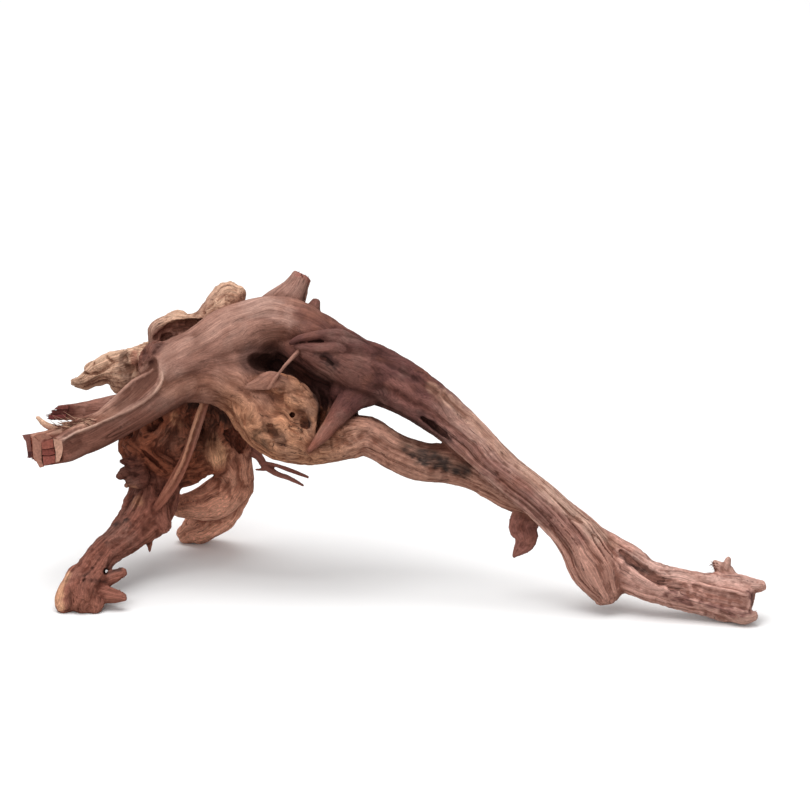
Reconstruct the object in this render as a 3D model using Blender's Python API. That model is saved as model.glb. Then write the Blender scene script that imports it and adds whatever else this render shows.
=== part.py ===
# Driftwood root: one grown piece of weathered wood that rests on a foot, a lobe and a far tip.
# The tables are in millimetres in the front view: x to the right from the left end, y away from
# the viewer, z up the view. That view looks down by LEAN, and stand() turns it upright.
# A station is (x, y, z, half size across the view, half size in depth).

import bmesh
import bpy
import math
import numpy as np

MM = 0.001
LEAN = math.radians(20.0)
FLOOR_HEIGHT = 9.5
CENTRE_ACROSS = 299.2
CENTRE_BACK = 71.8

SOLID_GRID = 1.7
BLEND_STEPS = 5
FACET_BUDGET = 10800
STATION_STEP = 3.0
RING_STEP = 3.2

WOOD_COLOUR = (0.27, 0.13, 0.095, 1.0)
WOOD_ROUGHNESS = 0.8

# Thick growth: trunk, limbs, legs, stubs and lumps.
LIMBS = {
    "arm": dict(
        square=3.0, flutes=(4, 0.03, 0.25), ends=("cut", "round"),
        path=[(17, 8, 141, 12.5, 11), (34, 10, 145.5, 14.8, 12), (60, 14, 155.5, 15.3, 14),
              (84, 18, 170.5, 17.3, 16), (102, 22, 183.5, 19.5, 19), (122, 28, 201, 24, 22)]),
    "arm end block": dict(
        square=6.0, ends=("cut", "round"),
        path=[(9.5, 6, 139, 13, 9), (15, 7, 142, 14, 10), (34, 9, 145.5, 13.5, 10)]),
    "trunk": dict(
        flutes=(5, 0.03, 0.4),
        path=[(102, 24, 186, 18, 19), (120, 28, 200, 25, 25), (144, 32, 211, 26.5, 28),
              (170, 35, 225, 30, 30), (196, 38, 238, 25, 28), (220, 37, 237, 23, 26),
              (240, 33, 224, 21, 24)]),
    "under eye": dict(
        path=[(128, 30, 200, 22, 22), (152, 28, 202, 25, 24), (174, 25, 196, 22, 24),
              (192, 21, 180, 20, 24), (204, 18, 164, 20, 24)]),
    "trunk web": dict(
        path=[(116, 28, 198, 18, 20), (144, 27, 207, 20, 23), (168, 25, 211, 18, 21),
              (184, 25, 214, 12, 18)]),
    "upper limb": dict(
        flutes=(6, 0.08, 0.9),
        path=[(214, 38, 232, 20, 22), (228, 34, 227, 24, 26), (246, 30, 216.6, 25, 24),
              (267, 26, 206.5, 23.7, 23), (285, 22, 200, 22.6, 21), (309, 14, 188.2, 20.3, 19),
              (337, 8, 169.5, 18.4, 18), (361, 3, 149, 16.5, 16), (384, 0, 126.2, 15.4, 15),
              (408, -2, 107, 15, 14.5), (430, -3, 87.5, 15.6, 14), (447, -6, 70, 18.4, 13),
              (456, -8, 55.5, 20, 12), (463, -8, 40.5, 18.5, 11), (469, -6, 26.4, 14, 9)]),
    "eye back": dict(
        path=[(196, 48, 222, 18, 14), (214, 48, 204, 22, 15), (236, 42, 188, 22, 16),
              (256, 30, 170, 16, 14)]),
    "far limb": dict(
        flutes=(5, 0.06, 0.5), ends=("round", "cut"),
        path=[(436, 2, 84, 11, 12), (452, 3, 70, 14, 12), (470, 1, 58, 15.5, 13),
              (485, -4, 46.2, 18.6, 13), (502, -10, 36.3, 15.4, 13), (524, -13, 30.5, 15.7, 13),
              (548, -17, 25, 16.7, 13.5), (570, -21, 20, 17.5, 13), (584, -24, 17, 12.5, 11)]),
    "far nose": dict(
        path=[(542, -16, 36, 6, 7), (558, -18, 35.5, 7, 8), (572, -20, 34, 7.5, 7.5),
              (585, -23, 32, 6, 6), (592, -25, 32, 5, 5)]),
    "far heel": dict(path=[(564, -23, 14, 8, 8), (576, -28, 8, 7, 7), (584, -29, 8, 5, 5)]),
    "burl": dict(
        flutes=(4, 0.06, 1.2),
        path=[(148, 30, 204, 22, 24), (178, 26, 188, 21, 25), (195, 20, 168, 24, 25),
              (212, 16, 159, 28.2, 26), (234, 16, 152, 24.9, 23), (256, 18, 150.4, 20, 20),
              (278, 18, 151, 16.4, 18), (298, 18, 139.6, 15.1, 16), (320, 18, 130.8, 15.9, 15),
              (344, 18, 129, 15, 13.5), (368, 14, 118.5, 12.3, 12), (392, 8, 104, 11.3, 11),
              (412, 2, 95, 10, 10)]),
    "burl chin": dict(path=[(184, 22, 158, 10, 12), (198, 20, 147.5, 10, 12), (214, 18, 142, 9, 12)]),
    "burl crown": dict(
        path=[(190, 14, 192, 9, 12), (200, 8, 193, 10, 13), (213, 8, 190, 11, 15),
              (226, 8, 181, 11, 15), (233, 8, 166, 10, 15), (236, 8, 152, 8, 14)]),
    "haunch": dict(
        flutes=(5, 0.08, 0.8),
        path=[(132, 48, 200, 20, 22), (118, 68, 172, 26, 26), (106, 82, 146, 26, 27),
              (107, 86, 122, 20, 24), (105, 80, 101, 18, 20)]),
    "leg": dict(
        flutes=(4, 0.1, 1.0),
        path=[(108, 84, 118, 19, 22), (105, 79, 100, 19.5, 20), (97, 66, 84, 19.5, 19),
              (80, 48, 67.8, 14.2, 15), (66, 32, 55.4, 12.5, 13), (57.5, 18, 41, 13.4, 14),
              (51, 8, 29, 15, 14), (50, 3, 20, 12, 11)]),
    "heel": dict(path=[(46, 12, 40, 9, 9), (38, 5, 26, 8.5, 9), (35, 1, 16, 7, 7)]),
    "toe": dict(path=[(56, 6, 26, 9, 9), (60, 1, 15.5, 7.5, 7)]),
    "low prong": dict(path=[(58, 8, 26, 9, 8), (72, 4, 23.5, 6, 6), (83, 2, 22, 4, 4)]),
    "high prong": dict(path=[(60, 14, 34, 8, 7), (73, 10, 38, 6, 6), (83, 8, 42, 4, 4)]),
    "leg knuckle": dict(path=[(100, 70, 118, 9, 10), (86, 62, 122, 8.5, 9), (80, 60, 124, 5, 6)]),
    "calf ridge": dict(path=[(116, 66, 106, 6, 7), (104, 58, 88, 6, 7), (88, 42, 70, 5, 6),
                             (73, 27, 56, 4, 6)]),
    "calf burr": dict(path=[(104, 62, 96, 12, 9), (109, 58, 87, 11, 7), (114, 56, 77.2, 7, 5)]),
    "back root": dict(
        flutes=(5, 0.08, 0.7),
        path=[(152, 52, 200, 22, 22), (163, 78, 172, 22, 24), (164, 98, 148, 20, 23),
              (168, 110, 128, 17, 19), (170, 116, 118, 14, 16)]),
    "saddle": dict(path=[(104, 86, 130, 21, 20), (129, 90, 133, 23, 18), (152, 96, 140, 22, 18)]),
    "lobe roll": dict(
        flutes=(3, 0.05, 0.4),
        path=[(173, 112, 130, 12, 14), (167, 118, 111, 17, 17), (152, 120, 99, 16, 17),
              (136, 120, 96, 13, 14), (127, 120, 94, 9.5, 9)]),
    "lobe skirt": dict(
        flutes=(4, 0.07, 0.8),
        path=[(171, 124, 104, 11.5, 12), (160, 133, 88, 13.5, 14), (147, 141, 79.3, 13.6, 14),
              (137, 146, 74, 12.3, 11), (131, 148, 70.6, 8.4, 8)]),
    "second stub": dict(
        square=3.0, flutes=(3, 0.07, 0.3), ends=("cut", "round"),
        path=[(22, 62, 166.8, 3.6, 5), (30, 62, 169, 6, 7), (46, 62, 170, 7, 8), (68, 62, 173, 9, 10),
              (92, 60, 176, 13, 13), (116, 52, 184, 18, 16)]),
    "antler": dict(
        flutes=(4, 0.12, 0.9),
        path=[(42, 86, 194, 3.5, 3.5), (50, 85, 195.6, 6.5, 5), (61, 84, 202, 9.4, 8),
              (74, 82, 206, 13.5, 12), (88, 78, 206, 16.8, 15), (106, 68, 210, 18.6, 18),
              (126, 56, 216, 18, 18)]),
    "antler prong": dict(path=[(52, 88, 206, 2.6, 3), (61, 87, 209, 4.4, 5), (72, 84, 212, 7.8, 8)]),
    "antler root": dict(path=[(79, 80, 193.5, 9, 9), (92, 76, 195, 14, 14), (108, 68, 196, 16, 16)]),
    "arm knuckle": dict(path=[(103, 32, 202, 8, 12), (104, 34, 213, 7.5, 10), (108, 36, 221, 5, 6)]),
    "ear": dict(
        path=[(107, 58, 226, 5, 11), (107.5, 57, 236, 6, 13), (114, 57, 240, 7, 15),
              (125, 56, 241.4, 8.5, 17),
              (138, 54, 242, 7.5, 16), (150, 52, 246, 8, 14), (162, 48, 253, 10, 12)]),
    "ear crest": dict(path=[(112, 66, 240, 4, 5), (122, 68, 247, 4.5, 5), (130, 67, 249, 4, 4)]),
    "knob": dict(
        flutes=(5, 0.07, 1.5),
        path=[(145, 50, 240.5, 9.5, 11), (155, 54, 254, 9.7, 11), (165.5, 55, 264.4, 10.6, 10),
              (172.5, 52, 263.8, 8.2, 9)]),
    "top stub": dict(
        flutes=(4, 0.06, 0.3), ends=("round", "cut"),
        path=[(198, 42, 245, 16.5, 16), (210, 44, 256.5, 15.5, 14), (218, 46, 266.5, 11.8, 11),
              (222.5, 47, 274, 9, 8), (226, 48, 280.4, 8, 7)]),
    "wart": dict(path=[(232, 42, 244, 9, 9), (235, 42, 254, 5.6, 6), (236.5, 42, 258, 4.2, 4)]),
    "shoulder": dict(path=[(226, 38, 238, 15, 14), (239, 36, 236, 14.5, 14), (252, 32, 227, 13.6, 13)]),
    "brow": dict(path=[(292, 20, 208, 8, 8), (266, 8, 222, 8, 8), (244, 3, 230, 6, 7),
                       (228, 2, 229, 4, 5), (219, 4, 226, 2, 3)]),
    "cheek": dict(
        path=[(300, 20, 190, 15, 12), (282, 12, 198, 17, 12), (262, 7, 207, 16, 12),
              (244, 3, 213, 12, 10), (230, 2, 219, 8, 7), (224, 3, 221, 4, 4)]),
    "cheek web": dict(path=[(256, 14, 186, 10, 9), (270, 14, 182, 10, 9), (284, 16, 183.5, 7, 8)]),
    "crest twig": dict(path=[(568, -16, 35, 7, 5), (563, -15, 43.5, 7, 4), (557.5, -15, 48, 4.6, 3),
                             (555, -15, 51, 2.8, 2.4)]),
    "tan bulge": dict(path=[(156, 82, 152, 9, 9), (156, 78, 138, 9.5, 8), (156, 84, 128, 7, 8)]),
    "knot": dict(path=[(118, 48, 166, 8, 8), (108, 50, 160, 8, 8), (100, 56, 150, 8, 8)]),
    "burl knot": dict(path=[(218, -4, 180, 6, 6), (230, -4, 175, 6, 6), (236, -2, 162, 5, 6)]),
    "haunch gnarl": dict(path=[(88, 66, 145, 8, 7), (104, 58, 134, 8, 8), (118, 64, 124, 7, 7)]),
    "haunch burr": dict(path=[(124, 52, 172, 7, 7), (130, 58, 156, 7, 8), (122, 64, 142, 6, 7)]),
}

# Hollows that water and rot have eaten out: sweeps that are cut away.
HOLLOWS = {
    "eye": [(183, -14, 214, 17, 11), (193, 6, 211, 14, 9), (200, 24, 209, 10, 7),
            (205, 38, 207, 6, 5)],
    "eye slit": [(198, 4, 209, 5, 20), (212, 4, 204, 3.4, 20), (224, 2, 199, 3.6, 22),
                 (235, 0, 192, 4.6, 24), (243, 0, 183, 5.5, 26), (242, -4, 166, 4, 20),
                 (239, -10, 148, 2.4, 12)],
    "brow groove": [(216, -3, 226, 1.6, 4), (234, -2, 227, 2.4, 3.5), (254, 3, 222.5, 1.4, 2.5)],
    "knob slit": [(167, 42, 260, 1.2, 6), (160, 42, 254, 2, 7), (153, 42, 248, 1, 6)],
    "knob hole": [(167, 36, 252, 2.4, 2.4), (167, 48, 252, 2, 2)],
    "leaf slot": [(190, -6, 186, 1.6, 5), (203, -10, 183, 2.4, 6), (213, -12, 183, 1.2, 5)],
    "arm channel": [(112, 0, 216, 6, 8), (106, -1, 199, 8, 10), (93, -1, 186, 7, 10),
                    (76, -2, 175, 6, 9), (58, -2, 166, 4, 7), (40, -2, 159, 2, 5)],
    "arm notch": [(27, -4, 158, 2.6, 3), (26, -4, 128, 2.6, 3)],
    "ear pocket": [(107, 45, 229, 3, 9), (116, 43, 234, 6, 12), (126, 42, 237, 7.4, 13),
                   (139, 41, 239.4, 5.8, 13), (150, 40, 242, 2.6, 10)],
    "far groove": [(484, -20, 56, 4, 5), (498, -23, 42, 8, 6), (524, -27, 30, 8.5, 6),
                   (552, -31, 23, 8.5, 6), (580, -34, 18, 8, 6)],
    "far mouth": [(576, -24, 19, 7, 6), (592, -26, 19, 9, 8)],
    "underarm": [(168, 66, 156, 8, 8), (176, 74, 148, 9, 10), (178, 84, 144, 7, 8)],
    "mass hole": [(104, 42, 160, 5, 5), (106, 58, 158, 5, 6)],
    "burl hole": [(228, -18, 163, 4.5, 4.5), (228, 2, 163, 4, 4)],
    "burl pit": [(218, -18, 168, 2.6, 2.6), (218, 0, 168, 2, 2)],
    "burl scar": [(200, -10, 158, 4, 4), (203, -11, 151, 5, 5), (214, -13, 147, 3, 4)],
    "cheek pit": [(239, -9, 215, 4, 5), (248, -8, 209, 4.5, 5)],
    "limb hollow": [(324, -10, 164, 4, 5), (334, -11, 156, 6, 6), (344, -12, 147, 3.5, 4)],
    "limb groove": [(338, -12, 181, 1, 2), (350, -13, 171, 2.2, 3), (380, -17, 140, 2.6, 3),
                    (410, -18, 113, 2.4, 3), (440, -17, 88, 1, 2)],
    "limb furrow": [(352, -13, 146, 1.5, 3), (376, -16, 124, 3, 4), (400, -18, 104, 2.6, 4),
                    (424, -17, 86, 2, 3)],
    "knee furrow": [(436, -14, 84, 1.5, 3), (450, -11, 66, 2.2, 3), (458, -3, 48, 2, 3),
                    (463, 2, 34, 1, 2)],
    "leg crack": [(86, 52, 148, 2, 6), (100, 52, 138, 2.4, 8), (116, 58, 122, 2, 6)],
    "antler furrow": [(80, 66, 220, 2, 6), (82, 64, 206, 4, 6), (82, 66, 192, 2.5, 5)],
    "lobe crease": [(130, 108, 84, 1.6, 4), (146, 102, 84, 2, 5), (160, 104, 92, 2, 5),
                    (172, 108, 108, 1.5, 4), (176, 106, 122, 1, 3)],
    "toe gap": [(68.5, -20, 43, 2.4, 2.4), (69, 40, 43, 2.4, 2.4)],
}

# Thin growth, added crisp: straps, a leaf, strands, shards and twigs.
SHARDS = {
    "strap": [(152, 34, 190, 4.4, 2.5), (149, 34, 182, 4.4, 2), (142, 36, 166, 5, 1.8),
              (137, 38, 148, 5.5, 1.8), (130, 40, 130, 5, 1.8), (122, 43, 114, 6, 1.9),
              (113, 48, 98, 5.5, 2), (106, 54, 87, 3.5, 2.2)],
    "leaf": [(177, 4, 189, 1.2, 3), (185, -2, 191, 3.2, 1.4), (194, -6, 194, 6.8, 1.4),
             (201, -8, 196, 7.4, 1.5), (208, -7, 195, 5.5, 2), (216, -2, 190, 3, 4)],
    "leaf strand": [(226, 2, 222, 1.6, 2), (213, -9, 208, 1.3, 1.2), (206, -11, 199, 1.4, 1.2),
                    (199, -8, 189, 1.3, 1.2)],
    "channel lip": [(110, 10, 201, 2, 4), (101, 4, 200, 2, 5), (91, 2, 195, 2, 5),
                    (79, 2, 186, 1.8, 4.5), (66, 3, 174.5, 1.5, 3.5), (56, 5, 167, 1, 2)],
    "cheek strand": [(294, 24, 204, 10, 9), (276, 14, 190, 13, 8), (263, 6, 178.5, 10.5, 6),
                     (251, -3, 163, 7, 4.5), (242, -9, 151, 5, 3.4), (232, -9, 140, 1.8, 3)],
    "twig": [(178, 100, 143, 5, 5), (190, 90, 134.5, 3.6, 3.2), (195, 86, 127, 3, 2.6),
             (205, 80, 120.5, 2.6, 2.4), (214, 76, 117.5, 2.2, 2), (226, 68, 111.4, 1.2, 1.1)],
    "twig fork": [(194, 86, 129, 2, 2), (202, 82, 128, 1.6, 1.6), (214, 78, 124, 2, 1.8),
                  (230, 72, 118, 1.3, 1.2)],
    "twig spur": [(195, 86, 124, 1.6, 1.6), (188, 84, 124, 0.9, 0.9)],
    "chip": [(409, 2, 100, 11, 4), (405, 4, 87, 12, 2.2), (402, 5, 78.5, 11.8, 1.8),
             (404.5, 5, 71, 10, 1.6), (402.5, 5, 64.5, 8, 1.6), (397.5, 5, 58.5, 4, 1.4),
             (395, 5, 55, 1.4, 1.2)],
    "calf spike": [(101, 60, 74, 5, 5), (102.5, 58, 64, 2.6, 2.2), (102.8, 58, 58.5, 1, 1)],
    "fork twig": [(563, -16, 44, 4, 3), (565.5, -16, 53, 2.6, 2.2)],
    "arm splinter": [(34, 12, 156, 2, 1.6), (26, 14, 158, 1.4, 1.2), (19, 16, 162, 1.1, 1),
                     (14, 18, 166, 0.8, 0.8)],
    "arm corner": [(16, 8, 148, 3, 5), (8, 8, 150, 2.5, 5), (3, 8, 151.5, 1.2, 4)],
}


def smooth_path(stations, step):
    # Catmull-Rom curve through the stations, read about every `step` millimetres.
    knots = np.array(stations, dtype=float)
    ends = np.vstack([2 * knots[0] - knots[1], knots, 2 * knots[-1] - knots[-2]])
    rows = []
    for i in range(len(knots) - 1):
        p0, p1, p2, p3 = ends[i:i + 4]
        span = np.linalg.norm(p2[:3] - p1[:3])
        t = np.arange(max(2, round(span / step))) / max(2, round(span / step))
        t = t[:, None]
        rows.append(0.5 * (2 * p1 + (p2 - p0) * t + (2 * p0 - 5 * p1 + 4 * p2 - p3) * t ** 2
                           + (3 * p1 - p0 - 3 * p2 + p3) * t ** 3))
    rows.append(knots[-1:])
    path = np.vstack(rows)
    path[:, 3:] = np.maximum(path[:, 3:], 0.5)
    return path


def round_end(path, at_start):
    # Adds the rings of a half dome to one end, as deep as the smaller half size.
    tip, inner = (path[0], path[1]) if at_start else (path[-1], path[-2])
    outward = tip[:3] - inner[:3]
    outward /= np.linalg.norm(outward)
    rows = []
    for angle in np.radians([25, 50, 70, 84]):
        row = tip.copy()
        row[:3] += outward * min(tip[3], tip[4]) * math.sin(angle)
        row[3:] *= math.cos(angle)
        rows.append(row)
    return np.vstack([rows[::-1], path]) if at_start else np.vstack([path, rows])


def sweep(name, stations, flutes=(0, 0.0, 0.0), square=2.0, ends=("round", "round")):
    # One limb: an oval with flutes, carried along the smooth path and closed at both ends.
    path = smooth_path(stations, STATION_STEP)
    for at_start, style in ((True, ends[0]), (False, ends[1])):
        if style == "round":
            path = round_end(path, at_start)
    centre = path[:, :3]
    along = np.gradient(centre, axis=0)
    along /= np.linalg.norm(along, axis=1)[:, None]
    run = centre[-1] - centre[0]
    away = np.array([0.0, 1.0, 0.0])
    if abs(run[1]) > 0.9 * np.linalg.norm(run):
        away = np.array([0.0, 0.0, 1.0])
    depth = away - along * (along @ away)[:, None]
    depth /= np.linalg.norm(depth, axis=1)[:, None]
    across = np.cross(along, depth)
    sides = int(np.clip(round(math.tau * path[:, 3:].max() / RING_STEP), 8, 56))
    angle = np.linspace(0, math.tau, sides, endpoint=False)[None, :]
    travel = np.linspace(0, 1, len(path))[:, None]
    count, deep, turn = flutes
    twist = turn * math.tau * travel
    swell = 1 + deep * np.cos(count * angle + twist)
    swell = swell + 0.5 * deep * np.cos((2 * count + 1) * angle - 2 * twist)
    round_cos = np.sign(np.cos(angle)) * np.abs(np.cos(angle)) ** (2 / square)
    round_sin = np.sign(np.sin(angle)) * np.abs(np.sin(angle)) ** (2 / square)
    ring_a = (path[:, 3:4] * round_cos * swell)[:, :, None] * across[:, None, :]
    ring_b = (path[:, 4:5] * round_sin * swell)[:, :, None] * depth[:, None, :]
    points = (centre[:, None, :] + ring_a + ring_b).reshape(-1, 3)
    faces = []
    for i in range(len(path) - 1):
        for j in range(sides):
            k = (j + 1) % sides
            faces.append((i * sides + j, (i + 1) * sides + j, (i + 1) * sides + k, i * sides + k))
    faces.append(tuple(range(sides)))
    faces.append(tuple((len(path) - 1) * sides + j for j in range(sides - 1, -1, -1)))
    mesh = bpy.data.meshes.new(name)
    mesh.from_pydata([tuple(p) for p in points * MM], [], faces)
    mesh.validate()
    obj = bpy.data.objects.new(name, mesh)
    bpy.context.scene.collection.objects.link(obj)
    return obj


def join(objects, name):
    # Puts the meshes of several objects into the first one.
    with bpy.context.temp_override(active_object=objects[0], selected_editable_objects=objects):
        bpy.ops.object.join()
    objects[0].name = name
    return objects[0]


def settle(obj):
    # Makes the modifiers' result the object's own mesh.
    graph = bpy.context.evaluated_depsgraph_get()
    result = bpy.data.meshes.new_from_object(obj.evaluated_get(graph))
    obj.modifiers.clear()
    old = obj.data
    obj.data = result
    bpy.data.meshes.remove(old)


def combine(obj, tools, operation):
    # Cuts the tools away or adds them, one after another, and removes them.
    for tool in tools:
        step = obj.modifiers.new(tool.name, "BOOLEAN")
        step.operation = operation
        step.solver = "MANIFOLD"
        step.object = tool
        settle(obj)
        bpy.data.objects.remove(tool)


def grow_solid():
    # Fuses the limbs on a fine grid and blends their junctions.
    limbs = [sweep(name, spec["path"], spec.get("flutes", (0, 0.0, 0.0)), spec.get("square", 2.0),
                   spec.get("ends", ("round", "round"))) for name, spec in LIMBS.items()]
    wood = join(limbs, "driftwood_root")
    grid = wood.modifiers.new("fuse", "REMESH")
    grid.mode = "VOXEL"
    grid.voxel_size = SOLID_GRID * MM
    settle(wood)
    blend = wood.modifiers.new("blend", "SMOOTH")
    blend.factor = 0.5
    blend.iterations = BLEND_STEPS
    settle(wood)
    return wood


def keep_largest(obj):
    # Drops the crumbs that the cuts leave loose.
    mesh = bmesh.new()
    mesh.from_mesh(obj.data)
    unseen = set(mesh.verts)
    pieces = []
    while unseen:
        piece = {unseen.pop()}
        edge_front = list(piece)
        while edge_front:
            vert = edge_front.pop()
            for edge in vert.link_edges:
                other = edge.other_vert(vert)
                if other in unseen:
                    unseen.remove(other)
                    piece.add(other)
                    edge_front.append(other)
        pieces.append(piece)
    pieces.sort(key=len)
    for piece in pieces[:-1]:
        bmesh.ops.delete(mesh, geom=list(piece), context="VERTS")
    mesh.to_mesh(obj.data)
    mesh.free()


def drop_fins(obj):
    # Removes single triangles that hang on an edge after the collapse.
    mesh = bmesh.new()
    mesh.from_mesh(obj.data)
    fins = [face for face in mesh.faces if any(edge.is_boundary for edge in face.edges)]
    while fins:
        bmesh.ops.delete(mesh, geom=fins, context="FACES")
        fins = [face for face in mesh.faces if any(edge.is_boundary for edge in face.edges)]
    mesh.to_mesh(obj.data)
    mesh.free()


def thin_out(wood):
    # Collapses the fine grid to the facet budget.
    triangles = sum(len(face.vertices) - 2 for face in wood.data.polygons)
    fewer = wood.modifiers.new("facets", "DECIMATE")
    fewer.ratio = FACET_BUDGET / triangles
    fewer.use_collapse_triangulate = True
    settle(wood)
    drop_fins(wood)


def stand(obj):
    # Leans the view plane upright about x and sets the floor and the middle at the origin.
    points = np.empty(len(obj.data.vertices) * 3)
    obj.data.vertices.foreach_get("co", points)
    points = points.reshape(-1, 3)
    x, y, z = points.T
    back = y * math.cos(LEAN) + z * math.sin(LEAN)
    up = z * math.cos(LEAN) - y * math.sin(LEAN)
    moved = np.column_stack([x - CENTRE_ACROSS * MM, back - CENTRE_BACK * MM, up - FLOOR_HEIGHT * MM])
    obj.data.vertices.foreach_set("co", moved.ravel())
    obj.data.update()


def ground():
    # A slab whose top is the surface that the root rests on.
    mesh = bmesh.new()
    bmesh.ops.create_cube(mesh, size=1.0)
    slab = bpy.data.meshes.new("ground")
    mesh.to_mesh(slab)
    mesh.free()
    obj = bpy.data.objects.new("ground", slab)
    obj.location.z = -0.5
    bpy.context.scene.collection.objects.link(obj)
    bpy.context.view_layer.update()
    return obj


def wood_material():
    material = bpy.data.materials.new("weathered wood")
    material.use_nodes = True
    shader = material.node_tree.nodes["Principled BSDF"]
    shader.inputs["Base Color"].default_value = WOOD_COLOUR
    shader.inputs["Roughness"].default_value = WOOD_ROUGHNESS
    shader.inputs["Metallic"].default_value = 0.0
    return material


def main():
    for obj in list(bpy.data.objects):
        bpy.data.objects.remove(obj)
    wood = grow_solid()
    combine(wood, [sweep(name, path) for name, path in HOLLOWS.items()], "DIFFERENCE")
    combine(wood, [sweep(name, path) for name, path in SHARDS.items()], "UNION")
    keep_largest(wood)
    thin_out(wood)
    stand(wood)
    combine(wood, [ground()], "DIFFERENCE")
    wood.data.materials.clear()
    wood.data.materials.append(wood_material())
    wood.data.shade_smooth()
    wood.data.set_sharp_from_angle(angle=math.radians(40))


main()
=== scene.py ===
import itertools
import math
import bmesh
import bpy
import numpy as np
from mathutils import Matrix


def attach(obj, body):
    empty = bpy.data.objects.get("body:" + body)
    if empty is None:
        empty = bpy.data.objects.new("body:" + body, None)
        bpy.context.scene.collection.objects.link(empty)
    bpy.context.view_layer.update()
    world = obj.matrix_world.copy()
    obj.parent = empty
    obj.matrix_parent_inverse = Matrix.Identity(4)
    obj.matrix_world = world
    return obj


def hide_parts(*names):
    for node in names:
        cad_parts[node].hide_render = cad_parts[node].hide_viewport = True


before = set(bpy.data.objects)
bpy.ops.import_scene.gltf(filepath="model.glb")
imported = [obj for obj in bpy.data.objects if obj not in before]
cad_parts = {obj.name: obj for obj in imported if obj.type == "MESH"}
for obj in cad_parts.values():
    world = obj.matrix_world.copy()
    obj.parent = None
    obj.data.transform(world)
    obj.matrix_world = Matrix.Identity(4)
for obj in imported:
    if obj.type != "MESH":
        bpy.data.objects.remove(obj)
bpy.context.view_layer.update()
print("frame loaded")

# The tables are in millimetres in the front view: x to the right, y away from the viewer, z up the
# view. The view looks down by `lean`, and standUp turns it upright on the floor.
stance = dict(lean=math.radians(20), floor=9.5, across=299.2, back=71.8, lowest=0.02, mm=0.001)

# The woods: tone is the clean colour; the rest are the heights of their relief in millimetres, and
# one that is left out is nothing. grain runs along the fibre, cracks open along it, lumps and crumbs
# run every way, flakes lie in steps, pits are eaten in, and curl is how far the fibre wanders.
woods = {
    "trunk": dict(tone=(0.258, 0.121, 0.088), grain=0.16, cracks=0.1, lumps=0.3, crumbs=0.02, curl=2.5),
    "plank": dict(tone=(0.155, 0.058, 0.039), grain=0.25, cracks=0.5, lumps=0.15, crumbs=0.04, curl=0.6),
    "raw": dict(tone=(0.270, 0.072, 0.044), grain=0.3, cracks=0.3, lumps=0.05, crumbs=0.15, flakes=0.2,
        curl=1),
    "bare": dict(tone=(0.475, 0.288, 0.228), grain=0.2, cracks=0.2, lumps=0.1, crumbs=0.12, curl=0.5),
    "head": dict(tone=(0.092, 0.032, 0.027), grain=0.35, cracks=0.3, lumps=0.4, crumbs=0.1, curl=5),
    "shoulder": dict(tone=(0.150, 0.060, 0.046), grain=0.3, cracks=0.3, lumps=0.4, crumbs=0.1, curl=3),
    "stub": dict(tone=(0.265, 0.132, 0.100), grain=0.35, cracks=0.4, lumps=0.3, crumbs=0.1, curl=2),
    "limb": dict(tone=(0.418, 0.230, 0.180), grain=0.7, cracks=0.9, lumps=0.35, crumbs=0.08, curl=2),
    "knee": dict(tone=(0.410, 0.200, 0.150), grain=0.65, cracks=0.7, lumps=0.35, crumbs=0.1, curl=2),
    "far": dict(tone=(0.500, 0.265, 0.212), grain=0.7, cracks=0.6, lumps=0.4, crumbs=0.25, pits=0.1, curl=2),
    "lower": dict(tone=(0.370, 0.178, 0.125), grain=0.55, cracks=0.6, lumps=0.6, crumbs=0.12, curl=3),
    "burl": dict(tone=(0.400, 0.178, 0.098), grain=0.8, cracks=0.7, lumps=0.9, crumbs=0.15, pits=0.25,
        curl=9),
    "straw": dict(tone=(0.515, 0.305, 0.205), grain=0.85, cracks=1.0, lumps=0.9, crumbs=0.3, flakes=0.1,
        pits=0.7, curl=4),
    "mass": dict(tone=(0.235, 0.070, 0.035), grain=1.0, cracks=0.9, lumps=1.5, crumbs=0.2, flakes=0.3,
        pits=0.5, curl=7),
    "leg": dict(tone=(0.236, 0.084, 0.057), grain=0.8, cracks=1.0, lumps=0.6, crumbs=0.3, flakes=0.15,
        pits=0.2, curl=3),
    "crumb": dict(tone=(0.130, 0.043, 0.029), grain=0.6, cracks=0.6, lumps=0.9, crumbs=1.0, flakes=1.0,
        pits=0.5, curl=4),
    "tan": dict(tone=(0.600, 0.300, 0.180), grain=0.4, cracks=0.5, lumps=0.4, crumbs=0.25, flakes=0.2,
        curl=6),
    "lobe": dict(tone=(0.680, 0.310, 0.206), grain=0.6, cracks=0.5, lumps=0.7, crumbs=0.1, flakes=0.2,
        pits=0.1, curl=5),
    "strap": dict(tone=(0.255, 0.086, 0.056), grain=0.25, cracks=0.3, lumps=0.1, crumbs=0.08, curl=1),
    "chip": dict(tone=(0.205, 0.078, 0.060), grain=0.25, cracks=0.4, lumps=0.3, crumbs=0.25, flakes=0.2,
        curl=1),
    "twig": dict(tone=(0.240, 0.092, 0.068), grain=0.1, lumps=0.2, crumbs=0.1, curl=1),
    "red": dict(tone=(0.134, 0.037, 0.028), grain=0.2, cracks=0.5, lumps=0.1, crumbs=0.25, flakes=0.3,
        curl=1),
}
reliefs = ("grain", "cracks", "lumps", "crumbs", "flakes", "pits", "curl")

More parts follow.
